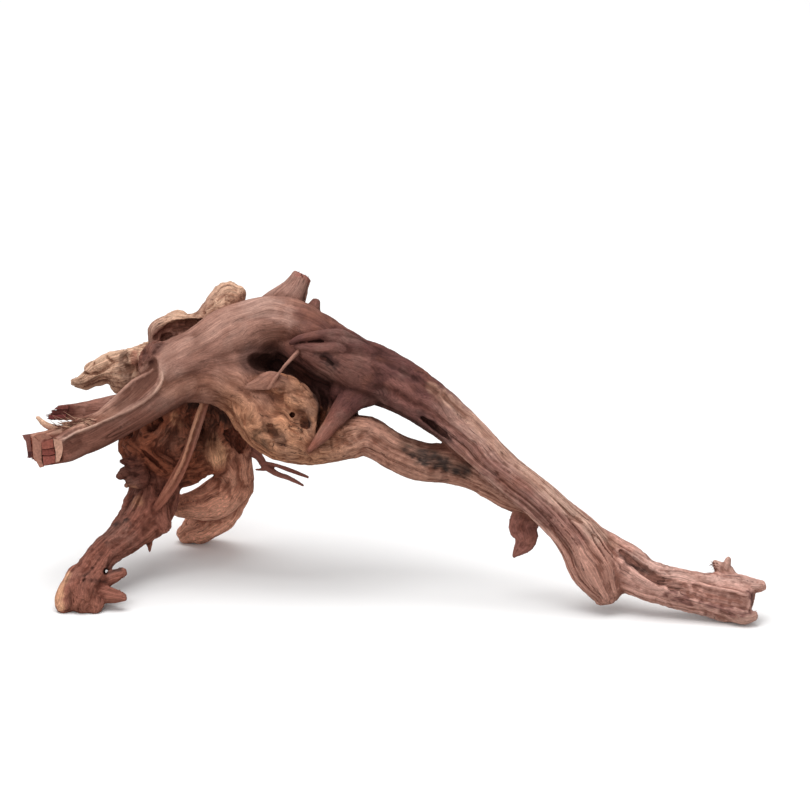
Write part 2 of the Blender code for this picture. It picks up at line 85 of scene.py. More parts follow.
# Thick growth: trunk, limbs, legs, stubs and lumps. A station is x, y, z, half width, half depth. wood
# names the woods along the path; flutes are a count, a depth and the turns that they make; a higher
# square makes the ring boxier; and the ends are round or cut flat.
limbs = {
    "arm": dict(wood="plank plank trunk", flutes=(4, 0.02, 0.25), square=4.0, ends=("cut", "round"),
        path=[(37, 11, 146.5, 13.6, 11), (48, 12, 150, 14.4, 12.5), (60, 14, 155.5, 15.0, 14),
        (84, 18, 170.5, 17.0, 16), (102, 22, 183.5, 19.5, 19), (121, 27, 199.5, 23.4, 22),
        (137, 29, 206.5, 23.4, 23), (152, 30, 210.5, 22, 23)]),
    "arm end block": dict(wood="raw", square=6.0, ends=("cut", "round"), path=[(10, 16, 140.5, 10, 6.5),
        (22, 15, 142, 11, 7), (40, 13, 147, 12.5, 9)]),
    "trunk": dict(wood="trunk", flutes=(5, 0.03, 0.4), path=[(102, 24, 186, 18, 19),
        (120, 28, 200, 25, 25), (144, 32, 211, 26.5, 28), (170, 35, 225, 30, 30), (196, 38, 238, 25, 28),
        (220, 37, 237, 23, 26), (240, 33, 224, 21, 24)]),
    "under eye": dict(wood="trunk", path=[(128, 30, 200, 22, 22), (152, 28, 202, 25, 24),
        (174, 25, 196, 22, 24), (192, 21, 180, 20, 24), (204, 18, 164, 20, 24)]),
    "trunk web": dict(wood="trunk", path=[(116, 28, 198, 18, 20), (144, 27, 207, 20, 23),
        (168, 25, 211, 18, 21), (184, 25, 214, 12, 18)]),
    "upper limb": dict(wood="shoulder head head head limb limb limb knee knee", flutes=(6, 0.08, 0.9),
        path=[(214, 38, 232, 20, 22), (228, 34, 227, 24, 26), (246, 30, 216.6, 25, 24),
        (267, 26, 206.5, 23.7, 23), (285, 22, 200, 22.6, 21), (309, 14, 188.2, 20.3, 19),
        (337, 8, 169.5, 18.4, 18), (361, 3, 149, 16.5, 16), (384, 0, 126.2, 15.4, 15),
        (408, -2, 107, 15, 14.5), (430, -3, 87.5, 15.6, 14), (447, -6, 70, 18.4, 13),
        (456, -8, 55.5, 20, 12), (463, -8, 40.5, 18.5, 11), (469.5, -6, 26.4, 12.4, 9.5)]),
    "eye back": dict(wood="head", path=[(196, 48, 222, 18, 14), (214, 48, 204, 22, 15),
        (236, 42, 188, 22, 16), (256, 30, 170, 16, 14)]),
    "far limb": dict(wood="knee far far", flutes=(5, 0.06, 0.5), ends=("round", "cut"),
        path=[(436, 2, 84, 11, 12), (452, 3, 70, 14, 12), (470, 1, 58, 15.5, 13),
        (485, -4, 46.2, 18.6, 13), (502, -10, 36.3, 15.4, 13), (524, -13, 30.5, 15.7, 13),
        (548, -17, 25, 16.7, 13.5), (570, -21, 20, 17.5, 13), (584, -24, 17, 12.5, 11)]),
    "far nose": dict(wood="far", path=[(542, -16, 36, 6, 7), (558, -18, 35.5, 7, 8),
        (572, -20, 34, 7.5, 7.5), (585, -23, 32, 6, 6), (592, -25, 32, 5, 5)]),
    "far heel": dict(wood="limb", path=[(564, -23, 14, 8, 8), (576, -28, 8, 7, 7), (584, -29, 8, 5, 5)]),
    "burl": dict(wood="trunk burl burl burl lower lower lower lower lower", flutes=(4, 0.06, 1.2),
        path=[(148, 30, 204, 22, 24), (178, 26, 188, 21, 25), (195, 20, 168, 24, 25),
        (212, 16, 159, 28.2, 26), (234, 16, 152, 24.9, 23), (256, 18, 150.4, 20, 20),
        (278, 18, 151, 16.4, 18), (298, 18, 139.6, 15.1, 16), (320, 18, 130.8, 15.9, 15),
        (344, 18, 129, 15, 13.5), (368, 14, 118.5, 12.3, 12), (392, 8, 104, 11.3, 11),
        (412, 2, 95, 10, 10)]),
    "burl chin": dict(wood="burl", path=[(184, 22, 158, 10, 12), (198, 20, 147.5, 10, 12),
        (214, 18, 142, 9, 12)]),
    "burl crown": dict(wood="burl", path=[(190, 14, 192, 9, 12), (200, 8, 193, 10, 13),
        (213, 8, 190, 11, 15), (226, 8, 181, 11, 15), (233, 8, 166, 10, 15), (236, 8, 152, 8, 14)]),
    "haunch": dict(wood="mass mass mass leg", flutes=(5, 0.08, 0.8), path=[(132, 48, 200, 20, 22),
        (118, 68, 172, 26, 26), (106, 82, 146, 26, 27), (107, 86, 122, 20, 24), (105, 80, 101, 18, 20)]),
    "leg": dict(wood="leg", flutes=(4, 0.1, 1.0), path=[(108, 84, 118, 19, 22), (105, 79, 100, 19.5, 20),
        (97, 66, 84, 19.5, 19), (80, 48, 67.8, 14.2, 15), (66, 32, 55.4, 12.5, 13),
        (57.5, 18, 41, 13.4, 14), (51, 8, 29, 15, 14), (50, 3, 20, 12, 11)]),
    "heel": dict(wood="leg", path=[(46, 12, 40, 9, 9), (38, 5, 26, 8.5, 9), (35, 1, 16, 7, 7)]),
    "toe": dict(wood="leg", path=[(56, 6, 26, 9, 9), (60, 1, 15.5, 7.5, 7)]),
    "low prong": dict(wood="leg", path=[(58, 8, 26, 9, 8), (72, 4, 23.5, 6, 6), (83, 2, 22, 4, 4)]),
    "high prong": dict(wood="leg", path=[(60, 14, 34, 8, 7), (73, 10, 38, 6, 6), (83, 8, 42, 4, 4)]),
    "leg knuckle": dict(wood="crumb", path=[(100, 70, 118, 9, 10), (91, 64, 122, 7.5, 8)]),
    "calf ridge": dict(wood="leg", path=[(116, 66, 106, 6, 7), (104, 58, 88, 6, 7), (88, 42, 70, 5, 6),
        (73, 27, 56, 4, 6)]),
    "calf burr": dict(wood="leg", path=[(104, 62, 96, 12, 9), (109, 58, 87, 11, 7), (114, 56, 77.2, 7, 5)]),
    "back root": dict(wood="mass mass lobe", flutes=(5, 0.08, 0.7), path=[(152, 52, 200, 22, 22),
        (163, 78, 172, 22, 24), (164, 98, 148, 20, 23), (168, 110, 128, 17, 19), (170, 116, 118, 14, 16)]),
    "saddle": dict(wood="mass", path=[(104, 86, 130, 21, 20), (129, 90, 133, 23, 18),
        (152, 96, 140, 22, 18)]),
    "lobe roll": dict(wood="mass lobe lobe", flutes=(3, 0.05, 0.4), path=[(173, 112, 130, 12, 14),
        (167, 118, 111, 17, 17), (152, 120, 99, 16, 17), (136, 120, 96, 13, 14), (127, 120, 94, 9.5, 9)]),
    "lobe skirt": dict(wood="lobe", flutes=(4, 0.07, 0.8), path=[(171, 124, 104, 11.5, 12),
        (160, 133, 88, 13.5, 14), (147, 141, 79.3, 13.6, 14), (137, 146, 74, 12.3, 11),
        (131, 148, 70.6, 8.4, 8)]),
    "second stub": dict(wood="strap stub stub", flutes=(3, 0.07, 0.3), square=3.0, ends=("cut", "round"),
        path=[(36, 62, 169.6, 5.6, 7), (46, 62, 170, 7, 8), (68, 62, 173, 9, 10), (92, 60, 176, 13, 13),
        (116, 52, 184, 18, 16)]),
    "antler": dict(wood="straw", flutes=(4, 0.12, 0.9), path=[(42, 86, 194, 3.5, 3.5),
        (50, 85, 195.6, 6.5, 5), (61, 84, 202, 9.4, 8), (74, 82, 206, 13.5, 12), (88, 78, 206, 16.8, 15),
        (106, 68, 210, 18.6, 18), (126, 56, 216, 18, 18)]),
    "antler prong": dict(wood="straw", path=[(52, 88, 206, 2.6, 3), (61, 87, 209, 4.4, 5),
        (72, 84, 212, 7.8, 8)]),
    "antler root": dict(wood="straw", path=[(79, 80, 193.5, 9, 9), (92, 76, 195, 14, 14),
        (108, 68, 196, 16, 16)]),
    "arm knuckle": dict(wood="crumb", path=[(103, 32, 202, 8, 12), (104, 34, 213, 7.5, 10),
        (108, 36, 221, 5, 6)]),
    "ear": dict(wood="stub straw straw", path=[(107, 58, 226, 5, 11), (107.5, 57, 236, 6, 13),
        (114, 57, 240, 7, 15), (125, 56, 241.4, 8.5, 17), (138, 54, 242, 7.5, 16), (150, 52, 246, 8, 14),
        (162, 48, 253, 10, 12)]),
    "ear crest": dict(wood="stub straw", path=[(112, 66, 240, 4, 5), (122, 68, 247, 4.5, 5),
        (130, 67, 249, 4, 4)]),
    "knob": dict(wood="stub straw", flutes=(5, 0.07, 1.5), path=[(145, 50, 240.5, 9.5, 11),
        (155, 54, 254, 9.7, 11), (165.5, 55, 264.4, 10.6, 10), (172.5, 52, 263.8, 8.2, 9)]),
    "top stub": dict(wood="trunk stub stub", flutes=(4, 0.06, 0.3), ends=("round", "cut"),
        path=[(198, 42, 245, 16.5, 16), (210, 44, 256.5, 15.5, 14), (218, 46, 266.5, 11.8, 11),
        (222.5, 47, 274, 9, 8), (226, 48, 280.4, 8, 7)]),
    "wart": dict(wood="shoulder", path=[(232, 42, 244, 9, 9), (235, 42, 254, 5.6, 6),
        (236.5, 42, 258, 4.2, 4)]),
    "shoulder": dict(wood="shoulder", path=[(226, 38, 238, 15, 14), (239, 36, 236, 14.5, 14),
        (252, 32, 227, 13.6, 13)]),
    "brow": dict(wood="head", path=[(292, 20, 208, 8, 8), (266, 8, 222, 8, 8), (244, 3, 230, 6, 7),
        (228, 2, 229, 4, 5), (219, 4, 226, 2, 3)]),
    "cheek": dict(wood="head shoulder shoulder", path=[(300, 20, 190, 15, 12), (282, 12, 198, 17, 12),
        (262, 7, 207, 16, 12), (244, 3, 213, 12, 10), (230, 2, 219, 8, 7), (224, 3, 221, 4, 4)]),
    "cheek web": dict(wood="head", path=[(256, 14, 186, 10, 9), (270, 14, 182, 10, 9),
        (284, 16, 183.5, 7, 8)]),
    "crest twig": dict(wood="limb", path=[(568, -16, 35, 7, 5), (563, -15, 43.5, 7, 4),
        (557.5, -15, 48, 4.6, 3), (555, -15, 51, 2.8, 2.4)]),
    "tan bulge": dict(wood="tan tan mass", path=[(156, 82, 152, 9, 9), (156, 78, 138, 9.5, 8),
        (156, 86, 127, 7, 8)]),
    "knot": dict(wood="mass", path=[(118, 48, 166, 8, 8), (108, 50, 160, 8, 8), (100, 56, 150, 8, 8)]),
    "burl knot": dict(wood="burl", path=[(218, -4, 180, 6, 6), (230, -4, 175, 6, 6), (236, -2, 162, 5, 6)]),
    "haunch gnarl": dict(wood="mass", path=[(88, 66, 145, 8, 7), (104, 58, 134, 8, 8),
        (118, 64, 124, 7, 7)]),
    "haunch burr": dict(wood="mass", path=[(124, 52, 172, 7, 7), (130, 58, 156, 7, 8),
        (122, 64, 142, 6, 7)]),
}

# what water and rot have eaten out of it; `rough` is how far the walls stray
hollows = {
    "eye": dict(rough=0.4, path=[(188, -14, 214, 15.5, 11), (196, 6, 211, 13.5, 9), (202, 24, 209, 10, 7),
        (205, 38, 207, 6, 5)]),
    "eye slit": dict(rough=0.9, path=[(198, 4, 209, 5, 20), (212, 4, 204, 3.4, 20), (224, 2, 199, 3.6, 22),
        (235, 0, 192, 4.6, 24), (243, 0, 183, 5.5, 26), (242, -4, 166, 4, 20), (239, -10, 148, 2.4, 12)]),
    "brow groove": dict(rough=0.9, path=[(216, -3, 226, 1.6, 4), (234, -2, 227, 2.4, 3.5),
        (254, 3, 222.5, 1.4, 2.5)]),
    "knob slit": dict(rough=0.9, path=[(167, 42, 260, 0.9, 5), (160, 42, 254, 1.5, 6),
        (153, 42, 248, 0.8, 5)]),
    "knob hole": dict(rough=0.9, path=[(167, 36, 252, 2.4, 2.4), (167, 48, 252, 2, 2)]),
    "leaf slot": dict(rough=0.9, path=[(190, -6, 186, 1.6, 5), (203, -10, 183, 2.4, 6),
        (213, -12, 183, 1.2, 5)]),
    "arm channel": dict(rough=0.15, path=[(107, 0, 220, 2, 10), (107, -2, 211, 6, 13.5),
        (102, -3, 202, 12.5, 15), (92, -3, 195, 16, 15.5), (78, -3, 183.5, 13.5, 15.5),
        (66, -3, 173.5, 10.5, 13.5), (52, -3, 164.5, 7.5, 12), (38, -4, 159, 7.5, 11), (22, -4, 156, 7, 9)]),
    "above the lip": dict(rough=0.3, path=[(102, 26, 208, 5.4, 32), (94.7, 26, 205, 6.4, 34),
        (86.3, 26, 201, 7.2, 34), (78.3, 26, 194.5, 7.6, 34), (70, 25, 186.5, 7.8, 33),
        (62, 21, 179.4, 7.8, 28), (53, 17, 175.4, 7.6, 23), (40, 16, 171, 7, 20)]),
    "ear pocket": dict(rough=0.3, path=[(107, 43, 229, 3, 6), (116, 41, 234, 6, 8), (126, 40, 237, 7.4, 9),
        (139, 39, 239.4, 5.8, 10), (150, 38, 242, 3.0, 9), (160, 38, 243.5, 1.6, 7)]),
    "knob groove": dict(rough=0.6, path=[(172, 44, 270, 0.6, 2), (163, 43, 264, 1.1, 3),
        (152, 42, 255, 0.8, 3)]),
    "knob fold": dict(rough=0.6, path=[(158, 43, 270, 0.6, 3), (152, 43, 262, 1.0, 3),
        (146, 43, 250, 0.8, 3)]),
    "far groove": dict(rough=0.9, path=[(480, -16, 60, 3, 6), (489, -19, 52.5, 4.4, 6.5),
        (499, -22, 45.5, 5.4, 6.5), (510, -25.5, 38.5, 6.6, 6), (524, -28.5, 32, 7.6, 5.5),
        (552, -32.5, 24, 8.4, 5.5), (580, -37, 18.5, 7.6, 5.5)]),
    "underarm": dict(rough=0.9, path=[(168, 66, 156, 8, 8), (176, 74, 148, 9, 10), (178, 84, 144, 7, 8)]),
    "mass hole": dict(rough=1.6, path=[(99, 34, 160, 3, 4), (105, 44, 159, 5, 7), (112, 44, 165, 3, 6)]),
    "mass eye": dict(rough=1.0, path=[(88, 50, 137, 1.5, 5), (94, 50, 136, 2.4, 6), (98, 52, 135, 1.6, 5)]),
    "burl hole": dict(rough=1.2, path=[(227, -14, 166, 2.6, 5), (228, -8, 162, 3.6, 6),
        (230, -6, 158, 2, 5)]),
    "burl pit": dict(rough=0.9, path=[(218, -18, 168, 2.6, 2.6), (218, 0, 168, 2, 2)]),
    "burl scar": dict(rough=0.9, path=[(200, -10, 158, 4, 4), (203, -11, 151, 5, 5), (214, -13, 147, 3, 4)]),
    "cheek pit": dict(rough=1.6, path=[(237, -10, 217, 2.4, 4), (243, -9, 214, 3, 4.6),
        (249, -9, 209, 2, 4)]),
    "limb hollow": dict(rough=0.8, path=[(322, -3, 166, 1.6, 4), (333, -5, 158, 3.0, 4.6),
        (343, -8, 149.5, 1.6, 4)]),
    "limb groove": dict(rough=0.9, path=[(338, -12, 181, 1, 2), (350, -13, 171, 2.2, 3),
        (380, -17, 140, 2.6, 3), (410, -18, 113, 2.4, 3), (440, -17, 88, 1, 2)]),
    "limb furrow": dict(rough=0.9, path=[(352, -13, 146, 1.5, 3), (376, -16, 124, 3, 4),
        (400, -18, 104, 2.6, 4), (424, -17, 86, 2, 3)]),
    "knee furrow": dict(rough=0.9, path=[(436, -14, 84, 1.5, 3), (450, -11, 66, 2.2, 3),
        (458, -3, 48, 2, 3), (463, 2, 34, 1, 2)]),
    "leg crack": dict(rough=0.5, path=[(85, 50, 150, 0.9, 5), (100, 50, 137, 1.3, 6), (117, 56, 121, 1, 5)]),
    "antler furrow": dict(rough=1.2, path=[(80, 61, 218, 3, 4), (83, 58, 206, 4.6, 5), (82, 61, 194, 3, 4)]),
    "antler cleft": dict(rough=0.7, path=[(47, 84, 201, 1.0, 4), (60, 75, 202, 1.2, 4),
        (72, 69, 207, 0.7, 3)]),
    "antler groove": dict(rough=0.7, path=[(66, 73, 194, 0.7, 3), (74, 67, 202, 1.0, 3),
        (77, 63, 214, 0.7, 3)]),
    "lobe crease": dict(rough=0.9, path=[(130, 108, 84, 1.4, 4), (146, 103, 84, 1.6, 4.4),
        (156, 107, 87, 1.2, 4)]),
    "sliver": dict(rough=0.4, path=[(126, 100, 103.5, 1.2, 45), (134, 100, 107.4, 2.3, 45),
        (143, 100, 113, 2.6, 45), (150.6, 100, 118.4, 2.2, 45), (154, 100, 120, 1, 45)]),
    "foot crack": dict(rough=0.5, path=[(69.3, 24, 66.4, 0.5, 9), (66, 16, 58, 0.6, 9),
        (60, 6, 48, 0.75, 9), (52, -2, 39, 0.75, 7), (50.5, -8, 31, 0.6, 5)]),
    "prong crack": dict(rough=0.5, path=[(53, -6, 36.6, 0.5, 6), (60, -2, 35.6, 0.7, 7),
        (69, 2, 34.8, 0.6, 5)]),
    "toe gap": dict(rough=0.9, path=[(68.5, -20, 43, 2.4, 2.4), (69, 40, 43, 2.4, 2.4)]),
}

# thin growth that stands free or lies on the rest: strap, leaf, strands, chip, twigs, rims, splinters
shards = {
    "strap": dict(wood="strap", path=[(153.6, 34, 192, 2.2, 2.5), (149.6, 34, 183, 3.2, 2),
        (144, 35, 168, 4.2, 1.7), (138.6, 37, 151, 4.6, 1.7), (132, 39, 133, 4.6, 1.7),
        (124, 42, 117, 5, 1.8), (114.6, 47, 102, 4.4, 2), (107.6, 52, 92.6, 3, 1.8),
        (104, 54, 86, 1.3, 1.5)]),
    "strap edge": dict(wood="tan strap", path=[(150.6, 32, 190, 1.2, 1.5), (145, 32, 177, 1.4, 1.6),
        (139, 33, 160, 1.5, 1.7), (133.4, 35, 142, 1.5, 1.7), (126.6, 38, 124, 1.5, 1.7),
        (117.4, 43, 108.6, 1.5, 1.6), (108, 49, 96.4, 1.2, 1.4)]),
    "scoop crust": dict(wood="crumb", path=[(98, 19, 203.6, 3.4, 5), (100.6, 17, 208.4, 6, 6),
        (103.4, 18, 214, 6.6, 7), (107, 23, 220, 5.8, 7), (111, 29, 223, 3.6, 5)]),
    "leaf": dict(wood="trunk", path=[(177, 4, 189, 1.2, 3), (185, -2, 191, 3.2, 1.4),
        (194, -6, 194, 6.8, 1.4), (201, -8, 196, 7.4, 1.5), (208, -7, 195, 5.5, 2), (216, -2, 190, 3, 4)]),
    "leaf strand": dict(wood="trunk", path=[(226, 2, 222, 1.6, 2), (213, -9, 208, 1.3, 1.2),
        (206, -11, 199, 1.4, 1.2), (199, -8, 189, 1.3, 1.2)]),
    "channel lip": dict(wood="bare trunk bare bare", path=[(106, 12, 204.6, 1.0, 1.6),
        (104, 13, 202.2, 1.5, 2.6), (98, 15, 198.8, 1.8, 4), (91, 16, 195.2, 1.8, 4.5),
        (84, 16, 189, 1.7, 4.5), (75.6, 16, 181, 1.6, 4), (67, 15, 173.8, 1.5, 3.6), (60, 13, 167, 1.3, 3)]),
    "scoop rim": dict(wood="bare", path=[(113, 9, 206, 0.9, 1.5), (114.6, 5.4, 201.4, 1.0, 1.8),
        (113.4, 4.2, 194, 1.1, 1.8), (109, 3.6, 187, 1.1, 1.8), (102, 3.2, 180.6, 1.1, 1.8),
        (94, 2.8, 175.2, 1.0, 1.8), (84, 2.2, 170, 1.0, 1.8), (72, 1.4, 165, 0.9, 1.7),
        (60, 0.2, 159.8, 0.8, 1.6), (46, -1.2, 154.4, 0.8, 1.5), (36, -3.8, 148.6, 0.7, 1.4)]),
    "cheek strand": dict(wood="head head strap", path=[(294, 24, 204, 10, 9), (276, 14, 190, 13, 8),
        (263, 6, 178.5, 10.5, 6), (251, -3, 163, 7, 4.5), (242, -9, 151, 5, 3.4), (232, -9, 140, 1.8, 3)]),
    "twig": dict(wood="twig", path=[(178, 100, 143, 5, 5), (190, 90, 134.5, 3.6, 3.2),
        (195, 86, 127, 3, 2.6), (205, 80, 120.5, 2.6, 2.4), (214, 76, 117.5, 2.2, 2),
        (226, 68, 111.4, 1.2, 1.1)]),
    "twig fork": dict(wood="twig", path=[(194, 86, 129, 2, 2), (202, 82, 128, 1.6, 1.6),
        (214, 78, 124, 2, 1.8), (230, 72, 118, 1.3, 1.2)]),
    "twig spur": dict(wood="twig", path=[(195, 86, 124, 1.6, 1.6), (188, 84, 124, 0.9, 0.9)]),
    "chip": dict(wood="chip", path=[(409, 2, 100, 11, 4), (405, 4, 87, 12, 2.2), (402, 5, 78.5, 11.8, 1.8),
        (404.5, 5, 71, 10, 1.6), (402.5, 5, 64.5, 8, 1.6), (397.5, 5, 58.5, 4, 1.4),
        (395, 5, 55, 1.4, 1.2)]),
    "knuckle crust": dict(wood="crumb", path=[(95, 60, 130, 6, 7), (87, 58, 130.4, 5, 5),
        (81, 57, 131, 3, 3)]),
    "knuckle crumb": dict(wood="crumb", path=[(95, 60, 124, 6, 6), (85, 58, 122.6, 5, 5),
        (79.6, 57, 120, 3.2, 3)]),
    "knuckle burr": dict(wood="crumb", path=[(96, 58, 117, 6, 6), (88, 56, 114.6, 4.4, 4),
        (85, 55, 112, 2.6, 3)]),
    "calf spike": dict(wood="leg", path=[(101, 60, 74, 5, 5), (102.5, 58, 64, 2.6, 2.2),
        (102.8, 58, 58.5, 1, 1)]),
    "fork twig": dict(wood="limb", path=[(563, -16, 44, 4, 3), (565.5, -16, 53, 2.6, 2.2)]),
    "arm splinter": dict(wood="straw", path=[(38, 12, 156, 2, 1.8), (28, 14, 157.4, 1.6, 1.5),
        (20, 16, 160.6, 1.5, 1.4), (14.4, 18, 166, 1.2, 1.2)]),
    "arm skin": dict(wood="plank", square=6.0, ends=("cut", "round"), path=[(30.8, 0.8, 139.8, 10.4, 6),
        (38, 5, 142.5, 12.0, 8), (50, 10.6, 149, 12.6, 10.4), (60, 15, 154, 11, 11)]),
    "end slab top": dict(wood="raw plank", square=7.0, ends=("cut", "cut"),
        path=[(13, 12, 145.4, 3.0, 9.5), (24, 11, 146.4, 3.2, 10), (36, 12, 150, 3.4, 10)]),
    "end slab middle": dict(wood="raw", square=7.0, ends=("cut", "cut"),
        path=[(11.6, 11.5, 138.4, 3.3, 8.6), (22, 10.5, 139.6, 3.4, 10), (34, 11, 141, 3.8, 10)]),
    "end slab low": dict(wood="raw", square=7.0, ends=("cut", "cut"), path=[(16, 12, 130.6, 3.6, 8),
        (26, 11, 131.8, 3.4, 9), (36, 12, 134, 4, 10)]),
    "end crest": dict(wood="raw plank", square=5.0, ends=("cut", "cut"), path=[(6, 19, 149, 3, 5),
        (18, 19, 151, 3.6, 6), (34, 17, 154, 3.8, 8)]),
    "end plate": dict(wood="raw", square=7.0, ends=("cut", "cut"), path=[(6.4, 15, 146.4, 2.0, 1.4),
        (9, 15, 144.6, 4.4, 2.2), (15, 14, 143.4, 8, 3)]),
    "end flake": dict(wood="red", square=4.0, ends=("cut", "cut"), path=[(7, 17, 135.6, 2, 3),
        (14, 16, 136.4, 2.4, 4)]),
    "stub layer top": dict(wood="red stub", square=6.0, ends=("cut", "round"),
        path=[(29, 59, 173.2, 2.2, 5.5), (40, 60, 174.2, 2.6, 7), (52, 61, 174, 3, 7)]),
    "stub layer middle": dict(wood="red stub", square=6.0, ends=("cut", "round"),
        path=[(25.4, 58, 169.8, 1.7, 5), (38, 59, 170.4, 2, 6), (50, 60, 171, 2.4, 7)]),
    "stub layer low": dict(wood="red stub", square=6.0, ends=("cut", "round"),
        path=[(21.8, 58, 166.4, 1.7, 5), (34, 59, 166.2, 2.2, 6), (48, 60, 166.4, 2.4, 7)]),
    "brow lip": dict(wood="head shoulder head", path=[(217, 0, 225.6, 1.4, 2), (224, -1, 229.2, 2.6, 3),
        (236, -1, 231.4, 4, 4.4), (251, 3, 232.4, 4.6, 5), (262, 9, 230.6, 4.4, 5), (272, 16, 226, 3, 4)]),
    "cheek fold": dict(wood="head shoulder head", path=[(221, 0, 222.6, 1.6, 2), (229, -2, 222, 3.4, 3.6),
        (242, -3, 221, 5, 5), (254, -1, 221, 5, 5), (263, 4, 217, 3.4, 5)]),
}

# The grids and steps of the mesh, its triangle budget, and how far one growth's looks run into the
# next. `steep` is the share of a path's length past which it counts as running into the depth.
root = dict(stationStep=3.0, ringStep=3.2, fewestSides=8, mostSides=56, thinnest=0.5, steep=0.9,
            domeAngles=(25, 50, 70, 84), fuseGrid=1.5, blendFactor=0.5, blendSteps=8, cutGrid=0.9,
            fineGrid=0.9, triangles=190000, readStep=1.5, widest=1.2, reach=12.0, farAway=99.0,
            batch=20000, blendWidth=1.6, blendReach=7, leastShare=0.02, swapWidth=6.0)


def smoothPath(stations, step):
    # Catmull-Rom curve through the stations, read about every `step` millimetres.
    knots = np.array(stations, dtype=float)
    ends = np.vstack([2 * knots[0] - knots[1], knots, 2 * knots[-1] - knots[-2]])
    rows = []
    for i in range(len(knots) - 1):
        p0, p1, p2, p3 = ends[i:i + 4]
        count = max(2, round(np.linalg.norm(p2[:3] - p1[:3]) / step))
        t = (np.arange(count) / count)[:, None]
        rows.append(0.5 * (2 * p1 + (p2 - p0) * t + (2 * p0 - 5 * p1 + 4 * p2 - p3) * t ** 2
                           + (3 * p1 - p0 - 3 * p2 + p3) * t ** 3))
    path = np.vstack(rows + [knots[-1:]])
    path[:, 3:] = np.maximum(path[:, 3:], root["thinnest"])
    return path


def roundEnd(path, atStart):
    # The rings of a half dome: moved out by the sine of an angle, narrowed by its cosine.
    tip, inner = (path[0], path[1]) if atStart else (path[-1], path[-2])
    outward = (tip[:3] - inner[:3]) / np.linalg.norm(tip[:3] - inner[:3])
    angle = np.radians(root["domeAngles"])[:, None]
    rows = np.repeat(tip[None, :], len(angle), axis=0)
    rows[:, :3] += outward * min(tip[3], tip[4]) * np.sin(angle)
    rows[:, 3:] *= np.cos(angle)
    return np.vstack([rows[::-1], path]) if atStart else np.vstack([path, rows])


def pathAxes(path):
    # Three directions at each station: along the path, across the view, and into the depth.
    centre = path[:, :3]
    along = np.gradient(centre, axis=0)
    along /= np.linalg.norm(along, axis=1)[:, None]
    run = centre[-1] - centre[0]
    away = np.array([0.0, 1.0, 0.0])
    if abs(run[1]) > root["steep"] * np.linalg.norm(run):
        away = np.array([0.0, 0.0, 1.0])
    depth = away - along * (along @ away)[:, None]
    depth /= np.linalg.norm(depth, axis=1)[:, None]
    return along, np.cross(along, depth), depth


def growthSurface(spec):
    # An oval ring of angle t, its radius 1 + d cos(k t + twist) + d/2 cos((2k+1) t - 2 twist),
    # carried along the smooth path and closed by a flat face at both ends. With `square` = n the
    # cosine and sine of the ring are raised to 2/n, which turns the oval towards a box.
    path = smoothPath(spec["path"], root["stationStep"])
    ends = spec.get("ends", ("round", "round"))
    for atStart in (True, False):
        if ends[0 if atStart else 1] == "round":
            path = roundEnd(path, atStart)
    along, across, depth = pathAxes(path)
    sides = round(math.tau * path[:, 3:].max() / root["ringStep"])
    sides = int(np.clip(sides, root["fewestSides"], root["mostSides"]))
    angle = np.linspace(0, math.tau, sides, endpoint=False)[None, :]
    count, deep, turn = spec.get("flutes", (0, 0.0, 0.0))
    twist = turn * math.tau * np.linspace(0, 1, len(path))[:, None]
    swell = 1 + deep * np.cos(count * angle + twist)
    swell = swell + 0.5 * deep * np.cos((2 * count + 1) * angle - 2 * twist)
    power = 2 / spec.get("square", 2.0)
    wide = np.sign(np.cos(angle)) * np.abs(np.cos(angle)) ** power * swell * path[:, 3:4]
    thick = np.sign(np.sin(angle)) * np.abs(np.sin(angle)) ** power * swell * path[:, 4:5]
    points = path[:, None, :3] + wide[:, :, None] * across[:, None] + thick[:, :, None] * depth[:, None]
    ring, side = np.meshgrid(np.arange(len(path) - 1), np.arange(sides), indexing="ij")
    here, there = ring * sides, (ring + 1) * sides
    other = (side + 1) % sides
    quads = np.stack([here + side, there + side, there + other, here + other], -1).reshape(-1, 4)
    first = np.arange(sides)
    last = (len(path) - 1) * sides + first[::-1]
    return points.reshape(-1, 3), quads, (first, last)


# The random fields: size is a field's width in millimetres, alike every way or along, across and into
# the wood (x, y and z for the flakes), seed picks it, and seedStep and octaves are 1 if left out.
fields = {
    "roughWalls": dict(size=5, seed=151, seedStep=7, octaves=2),
    "wander": dict(size=22, seed=11, seedStep=7, octaves=2),
    "broadGrain": dict(size=(85, 8, 8), seed=31),
    "narrowGrain": dict(size=(50, 3, 3), seed=41),
    "cracks": dict(size=(60, 6, 6), seed=51),
    "cracked": dict(size=(40, 14, 14), seed=61),
    "bend": dict(size=9, seed=161),
    "lumps": dict(size=15, seed=71, octaves=2),
    "crests": dict(size=11, seed=76),
    "crumbs": dict(size=3.2, seed=81, octaves=2),
    "pits": dict(size=7, seed=86, octaves=2),
    "flakes": dict(size=(12, 12, 7), seed=91, octaves=2),
    "stainsAndPaintedShading": dict(size=4, seed=121, octaves=3),
    "snapped": dict(size=1, seed=171),
    "fibreShade": dict(size=2, seed=131),
}
hashing = dict(corner=(73856093, 19349663, 83492791), seed=2654435, mix=(1274126177, 2246822519),
               low32=0xffffffff, low16=0xffff)


